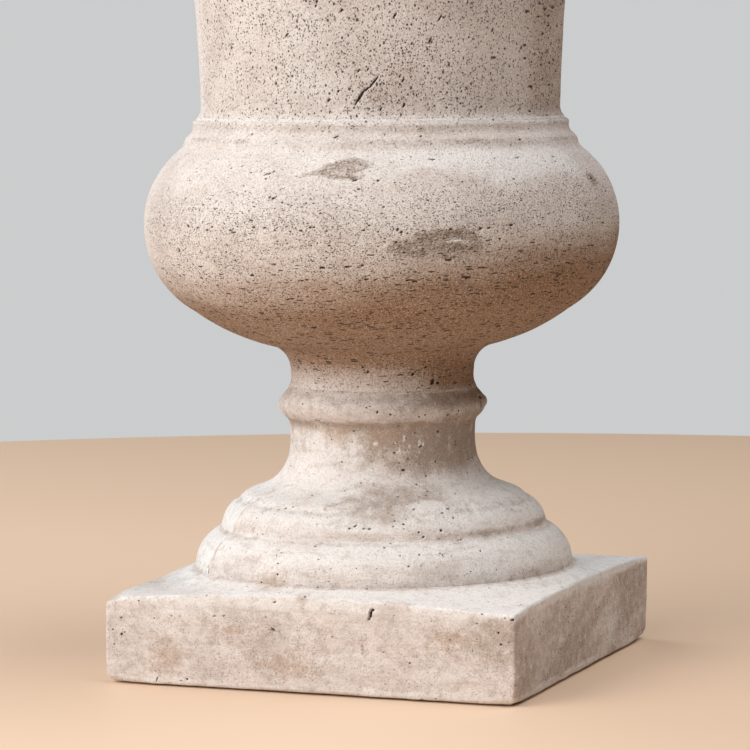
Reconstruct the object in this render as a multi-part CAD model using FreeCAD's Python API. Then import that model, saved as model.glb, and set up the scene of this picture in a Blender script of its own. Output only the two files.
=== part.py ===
import FreeCAD, Part
import math
import os

V = FreeCAD.Vector

# ---------------------------------------------------------------- driving dimensions, in millimetres
# Levels are counted from the plinth's underside; the floor pads lie below it.
PLINTH_SIDE = 251.0          # square plinth, full width
PLINTH_CORNER_TOP = 49.0     # height of the plinth's upper corners
PLINTH_CROWN_TOP = 57.4      # its domed top rises to here, at the lower torus
PAD_HEIGHT = 1.2             # floor pads that lift the plinth off the floor
RIM_TOP = 538.8              # top of the rim, 540 above the floor
BULGE_RADIUS = 140.7         # widest point of the bowl
BULGE_HEIGHT = 261.0         # level of that widest point
NECK_RADIUS = 54.6           # waist between the bowl and the neck ring
RING_RADIUS = 61.3           # nose of the neck ring
RING_MIDDLE = 154.0          # level of that nose
DRUM_FOOT_RADIUS = 106.6     # bell, just above the band on the bowl's shoulder
RIM_RADIUS = 157.0           # outside of the rolled rim
WALL = 14.0                  # thickness of the cast bell and bowl

NECK_JOINT = 163.8           # top of the pedestal casting
BELL_JOINT = 322.4           # top of the bowl casting
NECK_GROUT = 1.6             # mortar bed under the bowl
BELL_GROUT = 1.8             # mortar bed under the bell

ROD_RADIUS = 6.0             # threaded tie rod, M12
ROD_HOLE_RADIUS = 7.0
NUT_FLATS = 18.0             # across the flats of an M12 hexagon nut
NUT_HEIGHT = 10.0
WASHER_RADIUS = 18.5
WASHER_THICKNESS = 2.5
GASKET_THICKNESS = 3.0

# ---------------------------------------------------------------- shapes worked out from them
BOWL_UNDERSIDE = NECK_JOINT + NECK_GROUT
BELL_UNDERSIDE = BELL_JOINT + BELL_GROUT
MOUTH_RADIUS = DRUM_FOOT_RADIUS - WALL        # bore where the bowl meets the bell
LAP_RADIUS = MOUTH_RADIUS + 6.0               # half-lap that centres the bell on the bowl
LAP_HEIGHT = 8.0
LAP_CLEARANCE = 0.6
SPIGOT_RADIUS = 30.0                          # boss that centres the bowl on the pedestal
SPIGOT_HEIGHT = 8.0
SPIGOT_CLEARANCE = 1.0
FLOOR_RECESS_RADIUS = 24.0                    # pocket in the bowl's floor for nut and washer
FLOOR_RECESS_LEVEL = 196.0
CORE_CEILING = 118.0                          # top of the hollow core under the pedestal


def outline(start, *steps):
    """Closed outline in the (radius, height) plane: ('to', r, z), ('arc', via, end) or ('curve', points)."""
    edges = []
    here = start
    for kind, *args in steps:
        if kind == "to":
            end = (args[0], args[1])
            edges.append(Part.LineSegment(V(here[0], 0, here[1]), V(end[0], 0, end[1])).toShape())
        elif kind == "arc":
            via, end = args
            a, b, c = (V(p[0], 0, p[1]) for p in (here, via, end))
            edges.append(Part.Arc(a, b, c).toShape())
        else:
            points = [here] + list(args[0])
            end = points[-1]
            spline = Part.BSplineCurve()
            spline.interpolate([V(r, 0, z) for r, z in points])
            edges.append(spline.toShape())
        here = end
    edges.append(Part.LineSegment(V(here[0], 0, here[1]), V(start[0], 0, start[1])).toShape())
    return Part.Face(Part.Wire(edges))


def turned(*args):
    """Solid of revolution about Z of an outline."""
    return outline(*args).revolve(V(0, 0, 0), V(0, 0, 1), 360.0)


def on_arc(centre_r, centre_z, radius, degrees):
    """Point of a circle in the (radius, height) plane, counted from the outward direction."""
    angle = math.radians(degrees)
    return (centre_r + radius * math.cos(angle), centre_z + radius * math.sin(angle))


def cylinder(radius, height, base, chamfer=0.0):
    solid = Part.makeCylinder(radius, height, V(0, 0, base))
    if chamfer:
        rims = [e for e in solid.Edges if isinstance(e.Curve, Part.Circle)]
        solid = solid.makeChamfer(chamfer, rims)
    return solid


# ---------------------------------------------------------------- pedestal: plinth, tori, scotia, neck ring
def square_prism(height):
    """Upright block that gives the plinth its sides, with eased corners and underside."""
    half = PLINTH_SIDE / 2.0
    block = Part.makeBox(PLINTH_SIDE, PLINTH_SIDE, height, V(-half, -half, 0))
    uprights = [e for e in block.Edges if abs(e.tangentAt(e.FirstParameter).z) > 0.9]
    block = block.makeFillet(2.0, uprights)
    bottom_edges = [e for e in block.Edges if e.BoundBox.ZMax < 0.01]
    return block.makeChamfer(1.6, bottom_edges)


def pedestal():
    corner = PLINTH_SIDE / math.sqrt(2.0) + 4.0
    torus = (88.2, 58.0, 24.3)         # lower torus: centre radius, centre height, section radius
    torus_foot = on_arc(*torus, -2.0)
    torus_top = on_arc(*torus, 61.0)
    second = (78.0, 80.6, 19.0)        # upper torus
    second_foot = on_arc(*second, 0.0)
    second_top = on_arc(*second, 56.0)
    stem_top = (55.2, 144.8)
    turned_part = turned(
        (0.0, 0.0),
        ("to", corner, 0.0),
        ("to", corner, PLINTH_CORNER_TOP),
        ("to", 144.0, PLINTH_CORNER_TOP + 0.8),
        ("arc", (123.5, 51.8), (torus_foot[0] + 0.8, PLINTH_CROWN_TOP - 0.6)),
        ("to", *torus_foot),
        ("arc", on_arc(*torus, 25.0), torus_top),
        ("to", *second_foot),
        ("arc", on_arc(*second, 28.0), second_top),
        ("to", 86.6, 96.7),
        ("arc", (83.6, 100.1), (77.0, 103.2)),
        ("curve", [(68.7, 106.7), (61.5, 112.6), (56.8, 121.0), (55.0, 132.0), stem_top]),
        ("to", 57.4, 146.6),
        ("arc", (60.3, 149.6), (RING_RADIUS, RING_MIDDLE)),
        ("arc", (60.2, 158.6), (57.2, 161.8)),
        ("to", 55.2, NECK_JOINT),
        ("to", SPIGOT_RADIUS, NECK_JOINT),
        ("to", SPIGOT_RADIUS, NECK_JOINT + SPIGOT_HEIGHT),
        ("to", 0.0, NECK_JOINT + SPIGOT_HEIGHT),
    )
    core = turned(
        (0.0, -1.0),
        ("to", 92.0, -1.0),
        ("to", 84.0, 44.0),
        ("arc", (72.0, 66.0), (44.0, 82.0)),
        ("to", 30.0, 92.0),
        ("to", 26.0, CORE_CEILING),
        ("to", 0.0, CORE_CEILING),
    )
    rod_hole = cylinder(ROD_HOLE_RADIUS, 100.0, CORE_CEILING - 10.0)
    return turned_part.common(square_prism(RIM_TOP)).cut(core).cut(rod_hole).removeSplitter()


# ---------------------------------------------------------------- bowl: neck, bulge and shoulder band
def bowl():
    shoulder = (BULGE_RADIUS - 56.0, BULGE_HEIGHT, 56.0)
    belly = (BULGE_RADIUS - 58.0, BULGE_HEIGHT, 58.0)
    neck_fillet = (NECK_RADIUS + 16.0, 174.0, 16.0)
    belly_foot = on_arc(*belly, -60.0)
    fillet_top = on_arc(*neck_fillet, 107.0)
    outer = turned(
        (0.0, BOWL_UNDERSIDE),
        ("to", 54.4, BOWL_UNDERSIDE),
        ("to", NECK_RADIUS, 174.0),
        ("arc", on_arc(*neck_fillet, 145.0), fillet_top),
        ("arc", (89.6, 197.6), belly_foot),
        ("arc", on_arc(*belly, -30.0), (BULGE_RADIUS, BULGE_HEIGHT)),
        ("arc", on_arc(*shoulder, 30.0), on_arc(*shoulder, 54.5)),
        ("to", 116.6, 307.4),
        ("arc", (116.6, 310.4), (113.6, 314.0)),
        ("arc", (111.8, 315.6), (111.0, 318.0)),
        ("to", 111.2, 320.0),
        ("arc", (110.7, 321.8), (109.2, BELL_JOINT)),
        ("to", LAP_RADIUS, BELL_JOINT),
        ("to", LAP_RADIUS, BELL_JOINT + LAP_HEIGHT),
        ("to", 0.0, BELL_JOINT + LAP_HEIGHT),
    )
    cavity = turned(
        (0.0, 204.0),
        ("to", 62.0, 204.0),
        ("arc", (110.0, 226.0), (BULGE_RADIUS - WALL, BULGE_HEIGHT)),
        ("arc", (118.0, 291.0), (MOUTH_RADIUS + 5.0, 309.0)),
        ("arc", (MOUTH_RADIUS + 1.0, 312.5), (MOUTH_RADIUS, 318.0)),
        ("to", MOUTH_RADIUS, BELL_JOINT + LAP_HEIGHT + 1.0),
        ("to", 0.0, BELL_JOINT + LAP_HEIGHT + 1.0),
    )
    spigot_pocket = cylinder(SPIGOT_RADIUS + SPIGOT_CLEARANCE, SPIGOT_HEIGHT + SPIGOT_CLEARANCE + NECK_GROUT,
                             NECK_JOINT)
    nut_pocket = cylinder(FLOOR_RECESS_RADIUS, 20.0, FLOOR_RECESS_LEVEL)
    rod_hole = cylinder(ROD_HOLE_RADIUS, 60.0, NECK_JOINT)
    return outer.cut(cavity).cut(spigot_pocket).cut(nut_pocket).cut(rod_hole).removeSplitter()


# ---------------------------------------------------------------- bell: drum with a flaring rolled rim
def bell():
    straight_top = (110.1, 400.0)      # the drum leans out very little up to here
    flare_top = (RIM_RADIUS - 9.0, 505.0)
    inner_top = (RIM_RADIUS - 14.0, RIM_TOP - 3.0)
    outer = turned(
        (LAP_RADIUS + LAP_CLEARANCE, BELL_UNDERSIDE),
        ("to", DRUM_FOOT_RADIUS + 1.4, BELL_UNDERSIDE),
        ("arc", (DRUM_FOOT_RADIUS + 0.4, BELL_UNDERSIDE + 1.4), (DRUM_FOOT_RADIUS, 330.0)),
        ("arc", (107.9, 365.0), straight_top),
        ("curve", [(113.6, 435.0), (121.6, 466.0), (134.2, 490.0), flare_top]),
        ("to", RIM_RADIUS - 7.0, 511.0),
        ("arc", (RIM_RADIUS, 522.0), (RIM_RADIUS - 7.0, RIM_TOP)),
        ("to", inner_top[0] + 3.0, RIM_TOP),
        ("arc", (inner_top[0] + 0.9, RIM_TOP - 0.9), inner_top),
        ("curve", [(137.0, 516.0), (120.0, 487.0), (106.0, 455.0), (98.6, 420.0), (96.0, 390.0)]),
        ("to", MOUTH_RADIUS, BELL_JOINT + LAP_HEIGHT + LAP_CLEARANCE),
        ("to", LAP_RADIUS + LAP_CLEARANCE, BELL_JOINT + LAP_HEIGHT + LAP_CLEARANCE),
    )
    return outer


# ---------------------------------------------------------------- mortar beds
def neck_joint_grout():
    return turned(
        (SPIGOT_RADIUS + SPIGOT_CLEARANCE, NECK_JOINT),
        ("to", 53.6, NECK_JOINT),
        ("arc", (52.9, NECK_JOINT + NECK_GROUT / 2.0), (53.6, BOWL_UNDERSIDE)),
        ("to", SPIGOT_RADIUS + SPIGOT_CLEARANCE, BOWL_UNDERSIDE),
    )


def bell_joint_grout():
    outside = DRUM_FOOT_RADIUS + 0.9
    return turned(
        (LAP_RADIUS + LAP_CLEARANCE, BELL_JOINT),
        ("to", outside, BELL_JOINT),
        ("arc", (outside - 0.8, BELL_JOINT + BELL_GROUT / 2.0), (outside, BELL_UNDERSIDE)),
        ("to", LAP_RADIUS + LAP_CLEARANCE, BELL_UNDERSIDE),
    )


# ---------------------------------------------------------------- fastening through the neck
GASKET_BASE = FLOOR_RECESS_LEVEL
TOP_WASHER_BASE = GASKET_BASE + GASKET_THICKNESS
TOP_NUT_BASE = TOP_WASHER_BASE + WASHER_THICKNESS
LOWER_WASHER_BASE = CORE_CEILING - WASHER_THICKNESS
LOWER_NUT_BASE = LOWER_WASHER_BASE - NUT_HEIGHT
THREAD_BEYOND_NUT = 5.0


def ring(radius, thickness, base):
    return Part.makeCylinder(radius, thickness, V(0, 0, base)).cut(
        Part.makeCylinder(ROD_RADIUS, thickness, V(0, 0, base))
    )


def hexagon_nut(base):
    corner = NUT_FLATS / math.sqrt(3.0)
    points = [V(corner * math.cos(math.radians(60 * i)), corner * math.sin(math.radians(60 * i)), base)
              for i in range(7)]
    prism = Part.Face(Part.makePolygon(points)).extrude(V(0, 0, NUT_HEIGHT))
    cone_slope = 0.55                  # chamfered corners, as on a pressed nut
    rise = (corner - NUT_FLATS / 2.0) * cone_slope
    barrel = turned(
        (0.0, base),
        ("to", NUT_FLATS / 2.0, base),
        ("to", corner, base + rise),
        ("to", corner, base + NUT_HEIGHT - rise),
        ("to", NUT_FLATS / 2.0, base + NUT_HEIGHT),
        ("to", 0.0, base + NUT_HEIGHT),
    )
    return prism.common(barrel).cut(Part.makeCylinder(ROD_RADIUS, NUT_HEIGHT, V(0, 0, base)))


def tie_rod():
    low = LOWER_NUT_BASE - THREAD_BEYOND_NUT
    high = TOP_NUT_BASE + NUT_HEIGHT + THREAD_BEYOND_NUT
    return cylinder(ROD_RADIUS, high - low, low, chamfer=1.0)


# ---------------------------------------------------------------- floor pads
PAD_RADIUS = 9.0
PAD_INSET = 17.0             # pad centre to the plinth's side


def floor_pad(x_side, y_side):
    reach = PLINTH_SIDE / 2.0 - PAD_INSET
    return Part.makeCylinder(PAD_RADIUS, PAD_HEIGHT, V(x_side * reach, y_side * reach, -PAD_HEIGHT))


# ---------------------------------------------------------------- every sub-part, by node name
nodes = {
    "pedestal": pedestal(),
    "bowl": bowl(),
    "bell": bell(),
    "neck_joint_grout": neck_joint_grout(),
    "bell_joint_grout": bell_joint_grout(),
    "tie_rod": tie_rod(),
    "upper_nut": hexagon_nut(TOP_NUT_BASE),
    "upper_washer": ring(WASHER_RADIUS, WASHER_THICKNESS, TOP_WASHER_BASE),
    "upper_gasket": ring(WASHER_RADIUS + 1.5, GASKET_THICKNESS, GASKET_BASE),
    "lower_nut": hexagon_nut(LOWER_NUT_BASE),
    "lower_washer": ring(WASHER_RADIUS, WASHER_THICKNESS, LOWER_WASHER_BASE),
}
for name, x_side, y_side in (
    ("front_left", -1, -1),
    ("front_right", 1, -1),
    ("back_left", -1, 1),
    ("back_right", 1, 1),
):
    nodes["floor_pad_" + name] = floor_pad(x_side, y_side)

os.makedirs("parts", exist_ok=True)
for name, shape in nodes.items():
    shape.translate(V(0, 0, PAD_HEIGHT))   # the origin is on the floor
    shape.exportStep("parts/" + name + ".step")
    print(name, "volume", round(shape.Volume / 1000.0, 1), "cm3", "valid", shape.isValid())
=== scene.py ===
import itertools
import math

import bmesh
import bpy
import numpy as np
from mathutils import Matrix, Vector
from mathutils.kdtree import KDTree


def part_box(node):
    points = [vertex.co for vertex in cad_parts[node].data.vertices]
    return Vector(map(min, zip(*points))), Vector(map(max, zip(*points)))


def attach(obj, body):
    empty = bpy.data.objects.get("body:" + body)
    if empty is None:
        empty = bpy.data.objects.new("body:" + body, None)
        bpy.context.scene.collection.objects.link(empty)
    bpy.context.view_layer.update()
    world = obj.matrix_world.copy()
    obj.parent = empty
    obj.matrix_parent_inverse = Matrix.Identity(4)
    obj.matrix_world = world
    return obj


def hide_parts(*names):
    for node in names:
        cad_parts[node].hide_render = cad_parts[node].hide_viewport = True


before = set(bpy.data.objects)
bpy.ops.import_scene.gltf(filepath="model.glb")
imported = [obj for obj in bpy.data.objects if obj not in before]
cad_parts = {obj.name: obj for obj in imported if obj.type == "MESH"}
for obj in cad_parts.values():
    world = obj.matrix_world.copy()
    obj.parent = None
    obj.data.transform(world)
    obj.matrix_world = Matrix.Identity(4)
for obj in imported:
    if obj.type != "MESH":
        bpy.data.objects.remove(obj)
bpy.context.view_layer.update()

MM = 0.001                   # mesh code below works in millimetres; objects are in metres

# ---------------------------------------------------------------- sizes read from the CAD parts in model.glb, millimetres


def node_box(node):
    """Lowest and highest corner of a CAD node, in millimetres."""
    low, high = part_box(node)
    return np.array(low) / MM, np.array(high) / MM


PAD_TOP = node_box("floor_pad_front_left")[1][2]      # the plinth's underside is this far off the floor
BOWL_UNDERSIDE = node_box("neck_joint_grout")[1][2]
BELL_JOINT = node_box("bell_joint_grout")[0][2]
BELL_UNDERSIDE = node_box("bell_joint_grout")[1][2]
RIM_TOP = node_box("bell")[1][2]
RIM_RADIUS = node_box("bell")[1][0]
PLINTH_HALF = node_box("pedestal")[1][0]

ROD_HOLE_RADIUS = 7.0                # the tie rod's hole through bowl and pedestal
LAP_RADIUS, LAP_BORE = 98.6, 99.2    # half-lap that centres the bell on the bowl, and the bell's bore over it
MOUTH_RADIUS = 92.6                  # bore where bowl and bell meet


# ---------------------------------------------------------------- soft steps from 0 to 1
def smooth(value, low, high):
    """0 below low, 1 above high and a smooth rise between."""
    t = np.clip((value - low) / (high - low), 0, 1)
    return t * t * (3 - 2 * t)


def below(value, low, high):
    """1 below low, 0 above high and a smooth fall between."""
    return smooth(-value, -high, -low)


def around(azimuth, middle, inner, outer):
    """1 within the inner angle either side of middle, 0 beyond the outer one, in degrees."""
    return below(np.abs(turned_by(azimuth, middle)), inner, outer)


def bell_curve(offset, width):
    """1 where offset is 0, with a soft fall over width to both sides."""
    return np.exp(-(offset / width) ** 2)


# ---------------------------------------------------------------- outlines in the (radius, height) plane
class Outline:
    """Run of points that starts at (radius, level) and goes on in straight lines, arcs and smooth curves.
    Levels are counted from the plinth's underside. Each step says how far apart its points lie."""

    def __init__(self, radius, level):
        self.points = [np.array((radius, level), float)]

    def _extend(self, dense, gap):
        steps = np.linalg.norm(np.diff(dense, axis=0), axis=1)
        along = np.concatenate([[0], np.cumsum(steps)])
        count = max(1, round(along[-1] / gap))
        wanted = np.linspace(0, along[-1], count + 1)[1:]
        for s in wanted:
            self.points.append(np.array([np.interp(s, along, dense[:, k]) for k in (0, 1)]))
        return self

    def to(self, radius, level, gap=2.0):
        return self._extend(np.array([self.points[-1], (radius, level)], float), gap)

    def arc(self, via, end, gap=2.0):
        a, b, c = self.points[-1], np.array(via, float), np.array(end, float)
        rows = 2 * np.array([b - a, c - a])
        centre = np.linalg.solve(rows, [b @ b - a @ a, c @ c - a @ a])
        radius = np.linalg.norm(a - centre)
        angles = [math.atan2(*(p - centre)[::-1]) for p in (a, b, c)]
        turn = 2 * math.pi
        to_via, to_end = (angles[1] - angles[0]) % turn, (angles[2] - angles[0]) % turn
        sweep = to_end if to_via <= to_end else to_end - turn
        t = angles[0] + np.linspace(0, sweep, 97)
        return self._extend(centre + radius * np.stack([np.cos(t), np.sin(t)], axis=1), gap)

    def curve(self, *through, gap=2.0):
        knots = [self.points[-1]] + [np.array(p, float) for p in through]
        knots = [2 * knots[0] - knots[1]] + knots + [2 * knots[-1] - knots[-2]]
        dense = [knots[1]]
        for p0, p1, p2, p3 in zip(knots, knots[1:], knots[2:], knots[3:]):
            for t in np.linspace(0, 1, 25)[1:]:
                dense.append(0.5 * (2 * p1 + (p2 - p0) * t + (2 * p0 - 5 * p1 + 4 * p2 - p3) * t ** 2
                                    + (3 * p1 - p0 - 3 * p2 + p3) * t ** 3))
        return self._extend(np.array(dense), gap)

    def array(self):
        return np.array(self.points)


def on_arc(centre_r, centre_z, radius, degrees):
    """Point of a circle in the (radius, height) plane, counted from the outward direction."""
    angle = math.radians(degrees)
    return centre_r + radius * math.cos(angle), centre_z + radius * math.sin(angle)


def soften(points, low, high, least_radius, passes):
    """Rounds an outline's corners between two levels, as casting, sanding and a thick wash do."""
    for _ in range(passes):
        beside = (np.roll(points, 1, axis=0) + 2 * points + np.roll(points, -1, axis=0)) / 4
        share = smooth(points[:, 1], low, low + 2) * below(points[:, 1], high - 2, high)
        share = share * (points[:, 0] > least_radius)
        share[[0, 1, -2, -1]] = 0      # the outline's two ends aren't neighbours
        points = points + share[:, None] * (beside - points)
    return points


# ---------------------------------------------------------------- fields over points and grids round the axis
class Noise:
    """Smooth random field over space, from -1 to 1 and the same on every run."""

    def __init__(self, seed):
        self.table = np.random.default_rng(seed).uniform(-1, 1, (32, 32, 32))

    def __call__(self, points, size):
        p = np.asarray(points, float) / size
        cell = np.floor(p).astype(int)
        f = p - cell
        f = f * f * (3 - 2 * f)
        total = 0.0
        for corner in itertools.product((0, 1), repeat=3):
            weight = np.prod([f[..., k] if corner[k] else 1 - f[..., k] for k in range(3)], axis=0)
            index = tuple((cell[..., k] + corner[k]) % 32 for k in range(3))
            total = total + weight * self.table[index]
        return total

    def cloud(self, points, size, octaves=3):
        """Several sizes of the field added up, each half the size and strength of the one before."""
        return sum(self(np.asarray(points) + 17.3 * k, size / 2 ** k) / 2 ** k for k in range(octaves))


def spokes(count, crowd=0.0):
    """Angles round the axis in degrees, from the front face (-Y) towards the right (+X).
    With crowd above 0 they lie closer together towards the plinth's four corners."""
    s = np.linspace(-1, 1, count // 4, endpoint=False)
    t = crowd * np.sin(s * math.pi / 2) + (1 - crowd) * s
    side = np.degrees(np.arctan(t)) if crowd else 45 * s
    return np.concatenate([side + 90 * k for k in range(4)])


def turn(outline, azimuths):
    """Points of an outline turned round the axis: rows along the outline, columns round it."""
    a = np.radians(azimuths)[None, :]
    r, z = outline[:, 0:1], outline[:, 1:2]
    return np.stack([r * np.sin(a), -r * np.cos(a), z + 0 * a], axis=2)


def azimuth_of(points):
    return np.degrees(np.arctan2(points[..., 0], -points[..., 1]))


def turned_by(azimuth, middle):
    """Angle from middle to azimuth, from -180 to 180."""
    return (azimuth - middle + 180) % 360 - 180


def grid_normals(points):
    """Outward normals of a grid that closes on itself both ways."""
    round_axis = np.roll(points, -1, axis=1) - np.roll(points, 1, axis=1)
    up_outline = np.roll(points, -1, axis=0) - np.roll(points, 1, axis=0)
    normal = np.cross(round_axis, up_outline)
    return normal / np.maximum(np.linalg.norm(normal, axis=2, keepdims=True), 1e-9)


def circle(radius, level, azimuths):
    """Ring of points round the axis. Radius and level are one number, or one for each angle."""
    a = np.radians(azimuths)
    return np.stack([radius * np.sin(a), -radius * np.cos(a), level + 0 * a], axis=-1)


def mesh_of(name, grid):
    """Blender mesh of a grid in millimetres that closes on itself both ways."""
    rows, columns = grid.shape[:2]
    i, j = np.meshgrid(np.arange(rows), np.arange(columns), indexing="ij")
    up, on = (i + 1) % rows, (j + 1) % columns
    corners = np.stack([i * columns + j, i * columns + on, up * columns + on, up * columns + j], axis=2)
    mesh = bpy.data.meshes.new(name)
    mesh.vertices.add(rows * columns)
    mesh.vertices.foreach_set("co", (grid * MM).ravel())
    mesh.loops.add(corners.size)
    mesh.loops.foreach_set("vertex_index", corners.ravel().astype(np.int32))
    mesh.polygons.add(rows * columns)
    mesh.polygons.foreach_set("loop_start", np.arange(0, corners.size, 4, dtype=np.int32))
    mesh.update(calc_edges=True)
    mesh.validate()
    return mesh


def positions(mesh):
    """Vertex positions of a mesh in millimetres."""
    co = np.zeros(len(mesh.vertices) * 3)
    mesh.vertices.foreach_get("co", co)
    return co.reshape(-1, 3) / MM


def add_object(name, data):
    """Puts data in the scene as a new object."""
    thing = bpy.data.objects.new(name, data)
    bpy.context.scene.collection.objects.link(thing)
    return thing


def finish_piece(mesh, material, slot, *nodes, sharp=40):
    """Object for a mesh, smooth shaded with corners above the sharp angle kept. It rides on the one body and
    stands for CAD nodes."""
    mesh.polygons.foreach_set("use_smooth", [True] * len(mesh.polygons))
    mesh.set_sharp_from_angle(angle=math.radians(sharp))
    mesh.materials.clear()
    mesh.materials.append(material)
    piece = add_object(mesh.name, mesh)
    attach(piece, "root")
    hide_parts(*nodes)


def vertex_normals(mesh):
    normals = np.zeros(len(mesh.vertices) * 3, np.float32)
    mesh.vertex_normals.foreach_get("vector", normals)
    return normals.reshape(-1, 3)


def keep_values(mesh, name, values):
    """Stores one number per vertex under a name that the material reads."""
    layer = mesh.attributes.get(name) or mesh.attributes.new(name, "FLOAT", "POINT")
    layer.data.foreach_set("value", np.asarray(values, np.float32))


# ---------------------------------------------------------------- holes and strokes pressed into a casting
class Pits:
    """Holes to press into a surface. Each has a centre, an inward push, and a long and a short half-width."""

    def __init__(self, grid, outside, seed):
        self.grid, self.normals = grid, grid_normals(grid)
        self.rows = np.arange(len(grid))[outside]
        self.random = np.random.default_rng(seed)
        self.list = []

    def nearest(self, target):
        """Row and column of the outside point nearest to a target point."""
        near = np.linalg.norm(self.grid[self.rows] - np.asarray(target), axis=2)
        row, column = np.unravel_index(near.argmin(), near.shape)
        return self.rows[row], column

    def spot(self, azimuth, height):
        """Point of the outside at an angle round the axis and a height above the floor."""
        middle_row = self.grid[self.rows[len(self.rows) // 2]]
        column = np.abs(turned_by(azimuth_of(middle_row), azimuth)).argmin()
        heights = self.grid[self.rows, column, 2]
        near = np.abs(heights - height).argmin()
        r = np.hypot(*self.grid[self.rows[near], column, :2])
        a = math.radians(azimuth)
        return np.array([r * math.sin(a), -r * math.cos(a), height])

    def add(self, target, half_length, half_width, depth, lean=0.0):
        """lean turns the long way of the hole, in degrees from level towards upright."""
        row, column = self.nearest(target)
        normal = self.normals[row, column]
        level = np.cross((0.0, 0.0, 1.0), normal)
        level = level / np.linalg.norm(level) if np.linalg.norm(level) > 0.05 else np.array((1.0, 0.0, 0.0))
        upright = np.cross(normal, level)
        a = math.radians(lean)
        along = math.cos(a) * level + math.sin(a) * upright
        across = np.cross(normal, along)
        centre = np.asarray(target, float)
        centre = centre + ((self.grid[row, column] - centre) @ normal) * normal
        self.list.append((centre, normal, along, across, half_length, half_width, depth))

    def add_by_hand(self, base_depth, holes):
        """Holes placed one by one: azimuth, height, half-length, half-width, lean. Wide ones are deeper."""
        for azimuth, height, half_length, half_width, lean in holes:
            self.add(self.spot(azimuth, height), half_length, half_width, base_depth + 0.5 * half_width, lean)

    def stroke(self, start, end, half_width, depth):
        """Narrow groove between two (azimuth, height) places."""
        a, b = self.spot(*start), self.spot(*end)
        row, column = self.nearest((a + b) / 2)
        level = np.cross((0.0, 0.0, 1.0), self.normals[row, column])
        level /= np.linalg.norm(level)
        run = b - a
        lean = math.degrees(math.atan2(run[2], run @ level))
        self.add((a + b) / 2, np.linalg.norm(run) / 2 + half_width, half_width, depth, lean)

    def scatter(self, count, chance, half_width, stretch, depth, lean):
        """Random holes: chance(azimuth, height) is the share kept, half_width and stretch give (least, most)."""
        grid = self.grid[self.rows]
        ring = np.linalg.norm(np.roll(grid, -1, axis=1) - grid, axis=2)
        rise = np.linalg.norm(np.gradient(grid, axis=0), axis=2)
        area = (ring * rise).ravel()
        picks = self.random.choice(area.size, count, p=area / area.sum())
        draws = self.random.random((count, 5))
        for pick, draw in zip(picks, draws):
            row, column = np.unravel_index(pick, ring.shape)
            point = grid[row, column]
            if draw[0] > chance(azimuth_of(point), point[2]):
                continue
            width = half_width[0] + (half_width[1] - half_width[0]) * draw[1] ** 3
            length = width * (stretch[0] + (stretch[1] - stretch[0]) * draw[2] ** 2)
            jitter = (draw[3:5] - 0.5) * 2
            target = point + 0.8 * np.array([jitter[0], jitter[1], jitter[0] * jitter[1]])
            self.add(target, length, width, depth * width, lean + 18 * (draw[4] - 0.5))

    def press(self, mesh, rough):
        """Divides the faces round every hole, pushes them in, and keeps how deep in a hole each vertex lies.
        rough is the noise that makes the holes' edges ragged."""
        reach = KDTree(len(self.list))
        for k, pit in enumerate(self.list):
            reach.insert(pit[0], k)
        reach.balance()
        widest = max(pit[4] for pit in self.list) + 3.0
        margin = 1.3                 # faces this close to a hole are divided too
        bm = bmesh.new()
        bm.from_mesh(mesh)
        bm.faces.ensure_lookup_table()
        chosen = set()
        for face in bm.faces:
            middle = face.calc_center_median() / MM
            for _, k, _ in reach.find_range(middle, widest):
                centre, _, along, across, length, width, _ = self.list[k]
                offset = np.array(middle) - centre
                if abs(offset @ along) < length + margin and abs(offset @ across) < width + margin:
                    chosen.add(face)
                    break
        edges = {edge for face in chosen for edge in face.edges}
        bmesh.ops.subdivide_edges(bm, edges=sorted(edges, key=lambda e: e.index), cuts=3, use_grid_fill=True)
        bm.to_mesh(mesh)
        bm.free()
        co = positions(mesh)
        tree = KDTree(len(co))
        for k, point in enumerate(co):
            tree.insert(point, k)
        tree.balance()
        depth_in = np.zeros(len(co))
        push = np.zeros_like(co)
        for centre, normal, along, across, length, width, depth in self.list:
            near = [k for _, k, _ in tree.find_range(Vector(centre), max(length, width) * 1.4 + 0.5)]
            offset = co[near] - centre
            ragged = 1 + 0.28 * rough(co[near], max(width, 0.6) * 1.3)
            q = np.hypot((offset @ along) / length, (offset @ across) / width) * ragged
            share = below(q, 0.45, 1.12) * (np.abs(offset @ normal) < 4)      # not the wall's other face
            push[near] -= (share * depth)[:, None] * normal
            depth_in[near] = np.maximum(depth_in[near], share)
        mesh.vertices.foreach_set("co", ((co + push) * MM).ravel())
        mesh.update()
        keep_values(mesh, "pit", depth_in)


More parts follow.
